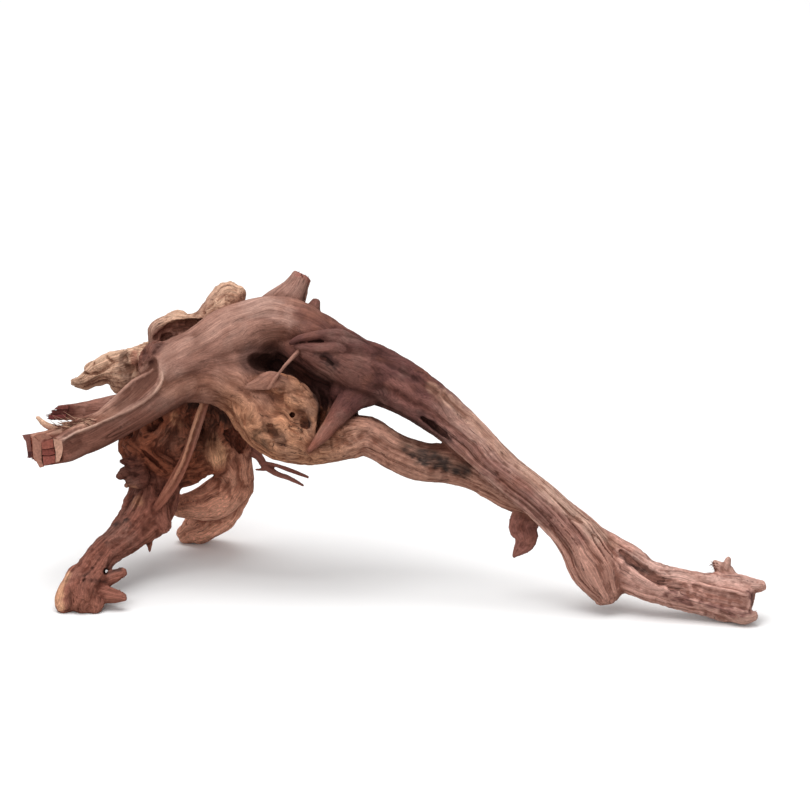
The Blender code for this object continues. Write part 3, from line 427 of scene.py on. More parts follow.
def field(points, seed):
    # A smooth random field from -1 to 1: hashed values at the whole-number corners round each point,
    # mixed with the weights 3f^2 - 2f^3 of its fraction f.
    low = np.floor(points)
    part = points - low
    part = part * part * (3 - 2 * part)
    x, y, z = low.astype(np.int64).T
    byX, byY, byZ = hashing["corner"]
    low32, low16 = hashing["low32"], hashing["low16"]
    total = np.zeros(len(points))
    for dx, dy, dz in itertools.product((0, 1), repeat=3):
        h = (x + dx) * byX ^ (y + dy) * byY ^ (z + dz) * byZ
        h = ((h ^ seed * hashing["seed"]) & low32) * hashing["mix"][0] & low32
        h = (h ^ (h >> 15)) * hashing["mix"][1] & low32
        value = ((h ^ (h >> 13)) & low16) / (low16 / 2) - 1
        weight = (part[:, 0] if dx else 1 - part[:, 0]) * (part[:, 1] if dy else 1 - part[:, 1])
        total += value * weight * (part[:, 2] if dz else 1 - part[:, 2])
    return total


def readField(points, name, shift=0):
    # Fields of doubling frequency and halving height, added up.
    spec = fields[name]
    scaled = points / np.array(spec["size"])
    seed = spec["seed"] + spec.get("seedStep", 1) * shift
    return sum(field(scaled * 2 ** k, seed + k) / 2 ** k for k in range(spec.get("octaves", 1)))


def strayBy(points, name):
    # Three readings of a field, as one offset for each point.
    return np.stack([readField(points, name, shift) for shift in range(3)], 1)


def manyGrowths(name, specs):
    # Every growth's surface in one mesh, each closed by itself.
    allPoints, faces, start = [], [], 0
    for spec in specs:
        points, quads, caps = growthSurface(spec)
        if spec.get("rough"):
            points += spec["rough"] * strayBy(points, "roughWalls")
        allPoints.append(points)
        faces += (quads + start).tolist() + [(cap + start).tolist() for cap in caps]
        start += len(points)
    mesh = bpy.data.meshes.new(name)
    mesh.from_pydata(np.vstack(allPoints), [], faces)
    piece = bpy.data.objects.new(name, mesh)
    bpy.context.scene.collection.objects.link(piece)
    return piece


def settle(piece):
    # Makes the modifiers' result the piece's own mesh.
    graph = bpy.context.evaluated_depsgraph_get()
    result = bpy.data.meshes.new_from_object(piece.evaluated_get(graph))
    piece.modifiers.clear()
    old = piece.data
    piece.data = result
    bpy.data.meshes.remove(old)


def fuse(piece, grid):
    # Rebuilds the piece as one closed skin on a grid, without what lies inside it.
    step = piece.modifiers.new("fuse", "REMESH")
    step.mode = "VOXEL"
    step.voxel_size = grid
    settle(piece)


def readPoints(mesh):
    flat = np.empty(len(mesh.vertices) * 3, dtype=np.float32)
    mesh.vertices.foreach_get("co", flat)
    return flat.reshape(-1, 3).astype(float)


def writePoints(mesh, points):
    mesh.vertices.foreach_set("co", points.astype(np.float32).ravel())
    mesh.update()


def readNormals(mesh):
    flat = np.empty(len(mesh.vertices) * 3, dtype=np.float32)
    mesh.vertex_normals.foreach_get("vector", flat)
    return flat.reshape(-1, 3).astype(float)


def readCorners(mesh):
    flat = np.empty(len(mesh.loops), dtype=np.int32)
    mesh.loops.foreach_get("vertex_index", flat)
    return flat


def readEdges(mesh):
    flat = np.empty(len(mesh.edges) * 2, dtype=np.int32)
    mesh.edges.foreach_get("vertices", flat)
    return flat.reshape(-1, 2)


def readGrowths(points, specs):
    # For each growth and point: how far outside its surface the point lies, and its fibre
    # coordinates: travel along the path, then the offsets across and in depth as shares of the
    # local half width and depth, times the growth's mean, so that a line of grain follows a taper.
    outside = np.full((len(specs), len(points)), root["farAway"], dtype=np.float32)
    fibre = np.zeros((len(specs), len(points), 3), dtype=np.float32)
    for i, spec in enumerate(specs):
        path = smoothPath(spec["path"], root["readStep"])
        along, across, depth = pathAxes(path)
        travel = np.concatenate([[0], np.cumsum(np.linalg.norm(np.diff(path[:, :3], axis=0), axis=1))])
        reach = path[:, 3:].max() * root["widest"] + root["reach"]
        middle = path[:, 3:].mean()
        inside = (points > path[:, :3].min(0) - reach).all(1) & (points < path[:, :3].max(0) + reach).all(1)
        near = np.flatnonzero(inside)
        for part in np.array_split(near, max(1, len(near) // root["batch"])):
            if not len(part):
                continue
            p = points[part]
            gap = (p ** 2).sum(1)[:, None] + (path[:, :3] ** 2).sum(1)[None] - 2 * p @ path[:, :3].T
            k = gap.argmin(1)
            away = p - path[k, :3]
            ahead = (away * along[k]).sum(1)
            over = np.maximum(np.abs(ahead) - root["readStep"], 0) * ((k == 0) | (k == len(path) - 1))
            u, v = (away * across[k]).sum(1) / path[k, 3], (away * depth[k]).sum(1) / path[k, 4]
            outside[i, part] = (np.hypot(u, v) - 1) * np.sqrt(path[k, 3] * path[k, 4]) + over
            fibre[i, part] = np.stack([travel[k] + ahead, u * middle, v * middle], 1)
        spec["length"] = travel[-1]
    return outside, fibre


def looksAt(spec, travel):
    # Tone and relief heights at a travel along the growth, mixed between its woods in even steps.
    rows = np.array([list(woods[name]["tone"]) + [woods[name].get(kind, 0) for kind in reliefs]
                     for name in spec["wood"].split()])
    at = np.clip(travel / spec["length"], 0, 1) * (len(rows) - 1)
    low = np.minimum(at.astype(int), max(len(rows) - 2, 0))
    high = np.minimum(low + 1, len(rows) - 1)
    return rows[low] + (rows[high] - rows[low]) * (at - low)[:, None]


def blendedLooks(outside, fibre, specs):
    # Each growth's looks, by the weight e^(-(d - nearest) / width), so the nearest surfaces count most.
    gap = outside - outside.min(0)
    weights = np.where(gap < root["blendReach"], np.exp(-gap / root["blendWidth"]), 0)
    looks = np.zeros((outside.shape[1], 3 + len(reliefs)))
    for i, spec in enumerate(specs):
        on = np.flatnonzero(weights[i] > 0)
        if len(on):
            looks[on] += looksAt(spec, fibre[i, on, 0]) * weights[i, on, None]
    return looks / weights.sum(0)[:, None], weights / weights.sum(0)


# ridges: height, the power of |field|, and its middle; the others are used as grainHeight and relief say
ridges = {"broadGrain": (2.3, 0.7, 0.42), "narrowGrain": (0.9, 0.8, 0.4)}
crackCut = dict(width=0.08, depth=2, often=2, shift=0.3)
lumpShape = dict(height=0.8, crest=0.7, middle=0.7, steep=2, bend=4)
pitShape = dict(level=0.42, span=0.5, depth=2.2)
flakeShape = dict(steps=3, height=0.5, edge=5)


def grainHeight(coords, grain, cracks):
    # |field|^power stretched along the fibre: rounded ridges between sharp furrows, broad and narrow,
    # less depth * e^(-(field / width)^2) where a crack opens.
    height = 0
    for name, (high, power, middle) in ridges.items():
        height = height + high * (np.abs(readField(coords, name)) ** power - middle)
    opened = np.clip(readField(coords, "cracked") * crackCut["often"] + crackCut["shift"], 0, 1)
    cut = np.exp(-(readField(coords, "cracks") / crackCut["width"]) ** 2)
    return grain * height - crackCut["depth"] * cracks * opened * cut


def relief(points, looks, weights, fibre):
    # Millimetres to move each point along its normal: the grain of each growth by its weight, lumps
    # with crests of middle - steep |field|, crumbs, pits where a field passes its level, and flakes,
    # whose steps are the whole part of a field with a ramp up to each.
    grain, cracks, lumps, crumbs, flakes, pits, curl = looks[:, 3:].T
    stray = strayBy(points, "wander") * curl[:, None]
    height = np.zeros(len(points))
    for i in range(len(weights)):
        on = np.flatnonzero(weights[i] > root["leastShare"])
        if len(on):
            height[on] += weights[i, on] * grainHeight(fibre[i, on] + stray[on], grain[on], cracks[on])
    bent = points + lumpShape["bend"] * strayBy(points, "bend")
    crests = lumpShape["middle"] - lumpShape["steep"] * np.abs(readField(bent, "crests"))
    height += lumps * (lumpShape["height"] * readField(points, "lumps") + lumpShape["crest"] * crests)
    height += crumbs * readField(points, "crumbs")
    eaten = np.clip((readField(bent, "pits") - pitShape["level"]) / pitShape["span"], 0, 1)
    height -= pits * pitShape["depth"] * eaten
    plates = readField(bent, "flakes") * flakeShape["steps"]
    ramp = np.clip((plates - np.floor(plates)) * flakeShape["edge"], 0, 1)
    height += flakes * flakeShape["height"] * (np.floor(plates) + ramp)
    return height


def smoothed(values, edges, rounds):
    # Each value becomes the mean of its neighbours', several times over.
    count = len(values)
    degree = np.maximum(np.bincount(edges.ravel(), minlength=count), 1)
    result = values.copy()
    for _ in range(rounds):
        result = np.stack([(np.bincount(edges[:, 0], result[edges[:, 1], k], count)
                            + np.bincount(edges[:, 1], result[edges[:, 0], k], count)) / degree
                           for k in range(result.shape[1])], 1)
    return result


# how much sky a point sees: cells of a grid, directions over the whole ball, and how much nearer
# another point has to be before it hides the sky, at first and wholly
sky = dict(grid=1.7, directions=72, slant=(0.31, 0.47, 0.83), nearer=2, fade=3)


def openness(points, normals):
    # The share of the sky round a point that nothing hides. From each of many directions, laid out by
    # the golden angle, a point is seen if no point in its cell of a grid lies more than a little nearer.
    count = sky["directions"]
    turn = math.pi * (3 - math.sqrt(5))
    clear, whole = np.zeros(len(points)), np.full(len(points), 1e-6)
    for k in range(count):
        up = 1 - (2 * k + 1) / count
        ring = math.sqrt(1 - up * up)
        toward = np.array([ring * math.cos(turn * k), ring * math.sin(turn * k), up])
        side = np.cross(toward, sky["slant"])
        side /= np.linalg.norm(side)
        cells = np.floor(points @ np.stack([side, np.cross(toward, side)], 1) / sky["grid"]).astype(np.int64)
        cells -= cells.min(0)
        place = cells[:, 0] * (cells[:, 1].max() + 1) + cells[:, 1]
        depth = points @ toward
        nearest = np.full(place.max() + 1, -1e9)
        np.maximum.at(nearest, place, depth)
        weight = np.maximum(normals @ toward, 0)
        clear += weight * np.clip(1 - (nearest[place] - depth - sky["nearer"]) / sky["fade"], 0, 1)
        whole += weight
    return clear / whole


def standUp(points):
    # Turns the leaning view upright about x and puts the floor and the middle at the origin.
    x, y, z = points.T
    lean = stance["lean"]
    back = y * math.cos(lean) + z * math.sin(lean) - stance["back"]
    up = z * math.cos(lean) - y * math.sin(lean) - stance["floor"]
    return np.stack([x - stance["across"], back, np.maximum(up, stance["lowest"])], 1) * stance["mm"]


# local stains and scars, and patches of painted light and shade (lit tops, shaded undersides, dark hollows):
# a path with a radius, a colour and a strength; `flat` is how much less depth counts than the other two
# directions, and `broken` how patchy the patch is
stainsAndPaintedShading = {
    "charred halo": dict(path=[(312, 2, 145), (322, 2, 137), (338, 2, 130), (354, 1, 123)], radius=8,
        tone=(0.15, 0.075, 0.052), strength=0.75, broken=0.5),
    "charred patch": dict(path=[(314, 2, 141), (324, 2, 134), (338, 2, 128), (352, 1, 122.6)], radius=5.6,
        tone=(0.040, 0.026, 0.022), strength=0.8, broken=1.0),
    "limb belly": dict(path=[(300, -6, 190), (340, -10, 153), (384, -14, 119), (420, -16, 88),
        (446, -14, 72)], radius=9, tone=(0.21, 0.082, 0.065), strength=0.65, broken=0.5),
    # painted light along the limb's upper edge
    "limb top painted light": dict(path=[(330, -4, 191), (352, -8, 173), (384, -10, 142), (432, -12, 101),
        (474, -8, 64)], radius=5, tone=(0.42, 0.235, 0.165), strength=0.5, broken=0.7),
    "limb shine": dict(path=[(404, -11, 126), (440, -12, 93), (462, -10, 70)], radius=6, flat=0.5,
        tone=(0.52, 0.31, 0.235), strength=0.6, broken=0.5),
    "crown crease": dict(path=[(161.6, 8, 239.2), (176, 10, 244.8), (193.6, 12, 246.4), (208, 14, 241.6),
        (216.8, 12, 229.6)], radius=1.8, flat=0.1, tone=(0.15, 0.065, 0.048), strength=0.5, broken=0.4),
    # painted light on the top of the crown
    "crown top painted light": dict(path=[(184, 16, 256), (204, 16, 253.6), (216, 16, 245.6)], radius=8, flat=0.2,
        tone=(0.36, 0.215, 0.175), strength=0.45, broken=0.4),
    # painted shade under the upper limb, above the lower limb
    "limb underside painted shade": dict(path=[(284, 10, 178), (310, 2, 168), (332, 0, 150)], radius=8,
        tone=(0.12, 0.05, 0.042), strength=0.6, broken=0.4),
    "lower back": dict(path=[(272, 14, 163), (296, 10, 152), (318, 8, 146)], radius=6,
        tone=(0.46, 0.25, 0.17), strength=0.5, broken=0.4),
    "burl scar": dict(path=[(199, -8, 162), (208, -10, 148)], radius=5, tone=(0.10, 0.04, 0.022),
        strength=0.7, broken=1.3),
    "burl foot": dict(path=[(190, 0, 151), (196, 0, 143)], radius=5, tone=(0.07, 0.03, 0.015),
        strength=0.7, broken=1.0),
    "burl rim": dict(path=[(228, -8, 158), (224, -8, 172)], radius=5, tone=(0.14, 0.055, 0.028),
        strength=0.5, broken=1.2),
    "notch edge": dict(path=[(31, -4, 149), (31, -4, 131)], radius=2.2, tone=(0.40, 0.21, 0.16),
        strength=0.6, broken=0.2),
    # painted shade in the gap of the notch between the snapped blocks
    "notch": dict(path=[(26, 2, 150), (25.4, 2, 128)], radius=1.8, tone=(0.05, 0.015, 0.011), strength=0.9,
        broken=0.2),
    "block front": dict(path=[(22, 0, 146), (22, 0, 130)], radius=4.2, tone=(0.11, 0.03, 0.022),
        strength=0.7, broken=0.6),
    "block side": dict(path=[(15, 4, 146), (17, 4, 128)], radius=4.4, tone=(0.42, 0.19, 0.145),
        strength=0.75, broken=0.4),
    "scoop edge": dict(path=[(114.6, 5, 201), (113.4, 4, 194), (109, 3.6, 187), (102, 3, 180.6),
        (94, 2.6, 175.2), (84, 2, 170), (72, 1, 165), (60, 0, 159.8), (46, -1.2, 154.4)], radius=1.6,
        flat=0.5, tone=(0.48, 0.28, 0.21), strength=0.7, broken=0.3),
    "scoop bed": dict(path=[(104, 8, 204), (96, 10, 192), (84, 10, 180), (66, 10, 168)], radius=8,
        flat=0.7, tone=(0.36, 0.19, 0.14), strength=0.6, broken=0.5),
    "scoop shade": dict(path=[(106, 14, 208), (102, 14, 198), (93, 16, 192)], radius=5, flat=0.7,
        tone=(0.20, 0.095, 0.072), strength=0.5, broken=0.6),
    "arm back": dict(path=[(12, 12, 154), (40, 6, 158), (60, 6, 163), (76, 8, 170)], radius=4.6,
        tone=(0.46, 0.25, 0.18), strength=0.7, broken=0.6),
    "stub body": dict(path=[(20, 56, 167), (37, 56, 171)], radius=6, tone=(0.10, 0.027, 0.020),
        strength=0.85, broken=0.4),
    "column light": dict(path=[(155, 72, 147), (158, 70, 134)], radius=6, flat=0.4,
        tone=(0.62, 0.31, 0.175), strength=0.85, broken=0.6),
    "burl brow": dict(path=[(214, -4, 190), (228, -6, 182), (236, -6, 172)], radius=6, flat=0.4,
        tone=(0.21, 0.095, 0.058), strength=0.6, broken=0.8),
    "crown side": dict(path=[(232, 10, 252), (242, 14, 244)], radius=9, flat=0.2,
        tone=(0.15, 0.058, 0.043), strength=0.7, broken=0.4),
    "ear bed": dict(path=[(114, 48, 232), (128, 48, 236), (136, 47, 237)], radius=7,
        tone=(0.36, 0.17, 0.13), strength=0.8, broken=0.3),
    "scoop end": dict(path=[(104, 14, 214), (112, 18, 221)], radius=6, tone=(0.11, 0.04, 0.03),
        strength=0.7, broken=0.9),
    "stub cut": dict(path=[(224, 46, 281), (231, 46, 277)], radius=5, tone=(0.24, 0.075, 0.055),
        strength=0.8, broken=0.4),
    "antler ridge": dict(path=[(90, 58, 216), (95, 56, 200)], radius=4.6, tone=(0.24, 0.08, 0.05),
        strength=0.8, broken=0.5),
    "antler shade": dict(path=[(81, 66, 216), (83, 62, 198)], radius=5, tone=(0.12, 0.055, 0.035),
        strength=0.6, broken=0.6),
    "shin scar": dict(path=[(88, 56, 108), (92, 54, 96)], radius=5, tone=(0.42, 0.19, 0.11), strength=0.8,
        broken=0.7),
    # painted shade inside the eye hollow
    "eye painted shade": dict(path=[(190, 6, 212), (207, 30, 207)], radius=14, tone=(0.07, 0.03, 0.024),
        strength=0.75, broken=0.2),
    # painted shade inside the eye slit
    "eye slit painted shade": dict(path=[(215, 12, 203), (243, 6, 168)], radius=9, tone=(0.05, 0.022, 0.018),
        strength=0.8, broken=0.1),
    # painted shade cast by the trunk onto the mass below it
    "painted shade under the trunk": dict(path=[(118, 48, 178), (140, 50, 182), (164, 56, 174), (176, 66, 158)],
        radius=10, tone=(0.04, 0.014, 0.008), strength=0.8, broken=0.4),
    "shaded mass": dict(path=[(118, 62, 160), (150, 70, 152)], radius=14, tone=(0.10, 0.038, 0.02),
        strength=0.5, broken=0.8),
    # painted shade in the far groove
    "far groove painted shade": dict(path=[(482, -16, 58), (492, -18, 50), (506, -24, 42)], radius=4.6,
        tone=(0.06, 0.022, 0.017), strength=0.8, broken=0.7),
    "far end": dict(path=[(583, -34, 26), (587, -28, 18), (588, -24, 10)], radius=4,
        tone=(0.10, 0.036, 0.03), strength=0.8, broken=0.8),
    "cheek pits": dict(path=[(238, -6, 217), (247, -8, 212), (254, -8, 206)], radius=4,
        tone=(0.045, 0.016, 0.013), strength=0.9, broken=1.6),
    # painted shade inside the limb hollow
    "limb hollow painted shade": dict(path=[(321, -2, 166), (334, -2, 157), (342, -4, 151)], radius=5.5,
        tone=(0.085, 0.034, 0.029), strength=0.8, broken=0.9),
    "far scars": dict(path=[(516, -26, 25), (534, -28, 19), (552, -32, 14), (582, -36, 11)], radius=4,
        tone=(0.15, 0.055, 0.045), strength=0.7, broken=1.5),
    "far lip": dict(path=[(492, -14, 58), (506, -18, 48), (530, -22, 40), (556, -24, 36), (588, -26, 33)],
        radius=4, tone=(0.42, 0.245, 0.20), strength=0.6, broken=0.3),
    "crown skin": dict(path=[(228, 10, 250), (238, 12, 240), (256, 8, 232)], radius=9, flat=0.35,
        tone=(0.112, 0.043, 0.034), strength=0.8, broken=0.4),
    "trunk shade": dict(path=[(136, 10, 208), (152, 10, 216)], radius=12, flat=0.2,
        tone=(0.185, 0.082, 0.060), strength=0.4, broken=0.5),
    "trunk glow": dict(path=[(118, 6, 188), (134, 6, 193), (150, 6, 192)], radius=7, flat=0.2,
        tone=(0.36, 0.165, 0.108), strength=0.4, broken=0.5),
    "crest light": dict(path=[(132, 10, 221), (152, 10, 236), (176, 14, 251), (200, 20, 256)], radius=7,
        flat=0.3, tone=(0.38, 0.21, 0.16), strength=0.35, broken=0.7),
    "trunk belly": dict(path=[(56, -2, 146), (90, 4, 166), (108, 4, 178)], radius=8,
        tone=(0.165, 0.064, 0.044), strength=0.6, broken=0.3),
    "lit ridge": dict(path=[(120, 42, 174), (126, 42, 158)], radius=3, flat=0.5, tone=(0.42, 0.19, 0.10),
        strength=0.55, broken=0.8),
    "toe light": dict(path=[(31, -6, 14), (31, 0, 24), (37, 4, 40)], radius=4.4, tone=(0.54, 0.27, 0.155),
        strength=0.75, broken=0.7),
    "toe shade": dict(path=[(41, -8, 26), (40.5, -8, 12)], radius=2, flat=0.4, tone=(0.13, 0.048, 0.032),
        strength=0.7, broken=0.6),
    "foot cracks": dict(path=[(69.3, 24, 66.4), (66, 16, 58), (60, 6, 48), (52, -2, 39), (50.5, -8, 31)],
        radius=1.4, flat=0.1, tone=(0.09, 0.03, 0.02), strength=0.7, broken=1.2),
    "prong cracks": dict(path=[(56, -4, 36.4), (62, -1, 35.2), (69, 2, 34.8)], radius=1.3, flat=0.1,
        tone=(0.08, 0.028, 0.02), strength=0.6, broken=1.3),
    "prong shade": dict(path=[(70, 12, 43), (80, 10, 45)], radius=2.6, flat=0.4, tone=(0.05, 0.018, 0.014),
        strength=0.8, broken=0.8),
    "shin knot": dict(path=[(77, 42, 80), (85, 46, 83)], radius=2.6, flat=0.2, tone=(0.05, 0.018, 0.014),
        strength=0.8, broken=1.3),
    # painted shade inside the burl hole
    "burl hole painted shade": dict(path=[(228, -10, 163.4), (230, -9, 161)], radius=3.4, flat=0.5,
        tone=(0.03, 0.012, 0.008), strength=0.9, broken=0.3),
}
stainAndShadingEdge = dict(reach=1.3, ragged=0.5, fade=0.5, patchy=0.6, most=1.2)


def alongPath(points, path, flat):
    # The distance from each point to the nearest leg of a path, with depth counted `flat` times.
    nearest = np.full(len(points), 1e9)
    scale = np.array([1.0, flat, 1.0])
    for a, b in zip(np.array(path[:-1], dtype=float), np.array(path[1:], dtype=float)):
        t = np.clip(((points - a) @ (b - a)) / ((b - a) @ (b - a)), 0, 1)[:, None]
        nearest = np.minimum(nearest, np.linalg.norm((points - a - t * (b - a)) * scale, axis=1))
    return nearest


def stainAndPaintShading(points, tone):
    # Moves the tone towards the colour of each stain or patch of painted light or shade:
    # strength * clip((reach - distance / radius) / fade), less where the patchy field is low.
    patchy = readField(points, "stainsAndPaintedShading")
    for spec in stainsAndPaintedShading.values():
        far = alongPath(points, spec["path"], spec.get("flat", 1.0)) / spec["radius"]
        edge = stainAndShadingEdge["reach"] - far + spec["broken"] * stainAndShadingEdge["ragged"] * patchy
        cover = np.clip(1 + stainAndShadingEdge["patchy"] * spec["broken"] * patchy, 0, stainAndShadingEdge["most"])
        amount = np.clip(edge / stainAndShadingEdge["fade"], 0, 1) * spec["strength"] * cover
        tone += (np.array(spec["tone"]) - tone) * np.clip(amount, 0, 1)[:, None]
    return tone


def dropCrumbs(wood):
    # Keeps the biggest piece. Each vertex takes the lowest number found among its neighbours, again
    # and again, until every piece has one number.
    mesh = wood.data
    edges = readEdges(mesh)
    label = np.arange(len(mesh.vertices))
    while True:
        low = np.minimum(label[edges[:, 0]], label[edges[:, 1]])
        new = label.copy()
        np.minimum.at(new, edges[:, 0], low)
        np.minimum.at(new, edges[:, 1], low)
        new = new[new]
        if (new == label).all():
            break
        label = new
    keep = label == np.bincount(label).argmax()
    quads = readCorners(mesh).reshape(-1, 4)
    number = np.cumsum(keep) - 1
    whole = bpy.data.meshes.new("driftwood")
    whole.from_pydata(readPoints(mesh)[keep], [], number[quads[keep[quads[:, 0]]]].tolist())
    wood.data = whole
    print("crumbs dropped:", int((~keep).sum()), "vertices")


def growRoot():
    # Fuses and smooths the thick growth, cuts the hollows out of it, and fuses the thin growth to it.
    wood = manyGrowths("driftwood", limbs.values())
    fuse(wood, root["fuseGrid"])
    blend = wood.modifiers.new("blend", "SMOOTH")
    blend.factor = root["blendFactor"]
    blend.iterations = root["blendSteps"]
    settle(wood)
    cutter = manyGrowths("hollows", hollows.values())
    fuse(cutter, root["cutGrid"])
    cut = wood.modifiers.new("hollows", "BOOLEAN")
    cut.operation = "DIFFERENCE"
    cut.solver = "MANIFOLD"
    cut.object = cutter
    settle(wood)
    bpy.data.objects.remove(cutter)
    thin = manyGrowths("shards", shards.values())
    both = bmesh.new()
    both.from_mesh(wood.data)
    both.from_mesh(thin.data)
    both.to_mesh(wood.data)
    both.free()
    bpy.data.objects.remove(thin)
    fuse(wood, root["fineGrid"])
    dropCrumbs(wood)
    print("root fused:", len(wood.data.vertices), "vertices")
    return wood


def carveRoot(wood, specs):
    # Moves the fine mesh out and in by the relief, then collapses it to its triangle budget.
    points = readPoints(wood.data)
    outside, fibre = readGrowths(points, specs)
    looks, weights = blendedLooks(outside, fibre, specs)
    height = relief(points, looks, weights, fibre)
    points += readNormals(wood.data) * height[:, None]
    writePoints(wood.data, points)
    thin = wood.modifiers.new("thin", "DECIMATE")
    thin.ratio = min(1, root["triangles"] / (2 * len(wood.data.polygons)))
    thin.use_collapse_triangulate = True
    settle(wood)
    print("root carved:", len(wood.data.polygons), "triangles")


# bulge over a few and over many rounds of smoothing: pale worn crests with painted highlights, painted shade
# in furrows;
# hidden sky and how deep a point lies in the growth: painted shade in hollows; coarse: the grain height that
# counts as coarsest
marks = dict(nearRounds=3, wideRounds=40, flatWearAndShade=0.5, near=1.1, wide=0.05, clearRounds=2, hidden=1.05,
             deep=0.3, deepSpan=10, deepFrom=0.15, coarsest=0.8)


def setAttribute(mesh, name, kind, domain, holder, values):
    layer = mesh.attributes.new(name, kind, domain)
    layer.data.foreach_set(holder, np.ascontiguousarray(values, dtype=np.float32).ravel())


def setTone(mesh, tone):
    rgba = np.column_stack([np.clip(tone, 0, 1), np.ones(len(tone))])
    setAttribute(mesh, "tone", "FLOAT_COLOR", "POINT", "color", rgba)


def setFibre(mesh, outside, fibre, stray):
    # At each corner the fibre coordinates of the two growths nearest to its face, and the share of
    # the second: half less half the gap between their distances over the swap width.
    corners = readCorners(mesh)
    facing = outside[:, corners.reshape(-1, 3)].mean(2)
    order = np.argpartition(facing, 1, axis=0)[:2]
    swap = np.take_along_axis(facing, order, 0)
    order = np.where(swap[0] <= swap[1], order, order[::-1])
    first, second = np.repeat(order[0], 3), np.repeat(order[1], 3)
    gap = outside[second, corners] - outside[first, corners]
    share = 0.5 - 0.5 * np.clip(gap / root["swapWidth"], -1, 1)
    for name, nearest in (("fibreA", first), ("fibreB", second)):
        coords = fibre[nearest, corners] + stray[corners]
        setAttribute(mesh, name, "FLOAT_VECTOR", "CORNER", "vector", coords)
    setAttribute(mesh, "fibreShare", "FLOAT", "CORNER", "value", share)


def markRoot(wood, specs):
    # Stores what the material reads, works out the bulge and the hidden sky, and stands the root up.
    mesh = wood.data
    points, normals, edges = readPoints(mesh), readNormals(mesh), readEdges(mesh)
    outside, fibre = readGrowths(points, specs)
    looks = blendedLooks(outside, fibre, specs)[0]
    stray = strayBy(points, "wander") * looks[:, -1:]
    near, wide = (((points - smoothed(points, edges, marks[rounds])) * normals).sum(1)
                  for rounds in ("nearRounds", "wideRounds"))
    clear = smoothed(openness(points, normals)[:, None], edges, marks["clearRounds"])[:, 0]
    depth = np.clip(-outside.min(0) / marks["deepSpan"] - marks["deepFrom"], 0, 1)
    setFibre(mesh, outside, fibre, stray)
    setTone(mesh, stainAndPaintShading(points, looks[:, :3].copy()))
    # painted shade: darker where the sky is hidden and deep inside the growth; the bulge gives worn crests
    # with painted highlights and painted shade in furrows
    for name, value in (("paintedShade", marks["hidden"] - clear + marks["deep"] * depth),
                        ("wearAndShade", marks["flatWearAndShade"] + near * marks["near"] + wide * marks["wide"]),
                        ("coarse", looks[:, 3] / marks["coarsest"])):
        setAttribute(mesh, name, "FLOAT", "POINT", "value", np.clip(value, 0, 1))
    writePoints(mesh, standUp(points))
    mesh.shade_smooth()


# broken ends that fray: at and spread say where the fibres start, toward and splay where they point
frays = {
    "arm top": dict(at=(46, 6, 160), spread=(16, 5, 4), toward=(-1, 0, 0.22), splay=0.22, count=60,
        length=15, radius=0.42, wood="straw plank"),
    "arm end": dict(at=(9, 8, 141), spread=(5, 7, 11), toward=(-1, -0.3, -0.1), splay=0.3, count=44,
        length=4, radius=0.5, wood="raw"),
    "second stub": dict(at=(24, 58, 169), spread=(3, 4, 4), toward=(-1, 0, 0.2), splay=0.25, count=30,
        length=4, radius=0.45, wood="red"),
    "top stub": dict(at=(228, 44, 280), spread=(6, 5, 2), toward=(0.5, 0, 0.86), splay=0.35, count=30,
        length=2.6, radius=0.5, wood="stub red"),
    "crest": dict(at=(554, -16, 47), spread=(3, 2, 3), toward=(-1, 0, 0.1), splay=0.6, count=16, length=7,
        radius=0.4, wood="chip"),
    "far nose": dict(at=(590, -25, 32), spread=(2, 4, 4), toward=(1, 0, 0.1), splay=0.35, count=24,
        length=3, radius=0.5, wood="far"),
    "far heel": dict(at=(588, -28, 12), spread=(2, 5, 6), toward=(1, 0, -0.1), splay=0.35, count=24,
        length=3, radius=0.5, wood="far"),
    "haunch": dict(at=(82, 62, 130), spread=(4, 8, 16), toward=(-1, -0.3, 0), splay=0.6, count=60,
        length=3.4, radius=0.6, wood="crumb"),
    "toes": dict(at=(84, 4, 31), spread=(3, 3, 10), toward=(1, 0, 0), splay=0.4, count=26, length=2.6,
        radius=0.55, wood="leg"),
    "knuckle": dict(at=(106, 32, 217), spread=(6, 5, 5), toward=(0, -0.4, 1), splay=0.6, count=46,
        length=3.2, radius=0.5, wood="crumb"),
}
# one fibre: how deep it is sunk, its bend, its least length and thickness as shares, its taper, and the
# range of its shade
strand = dict(rings=6, sides=4, sunk=1.0, bend=0.012, shortest=0.4, thin=0.6, thick=1.2, taper=0.96,
              power=1.5, slant=(0.2, 0.9, 0.4), seed=200, shade=0.9, shadeRange=0.2)

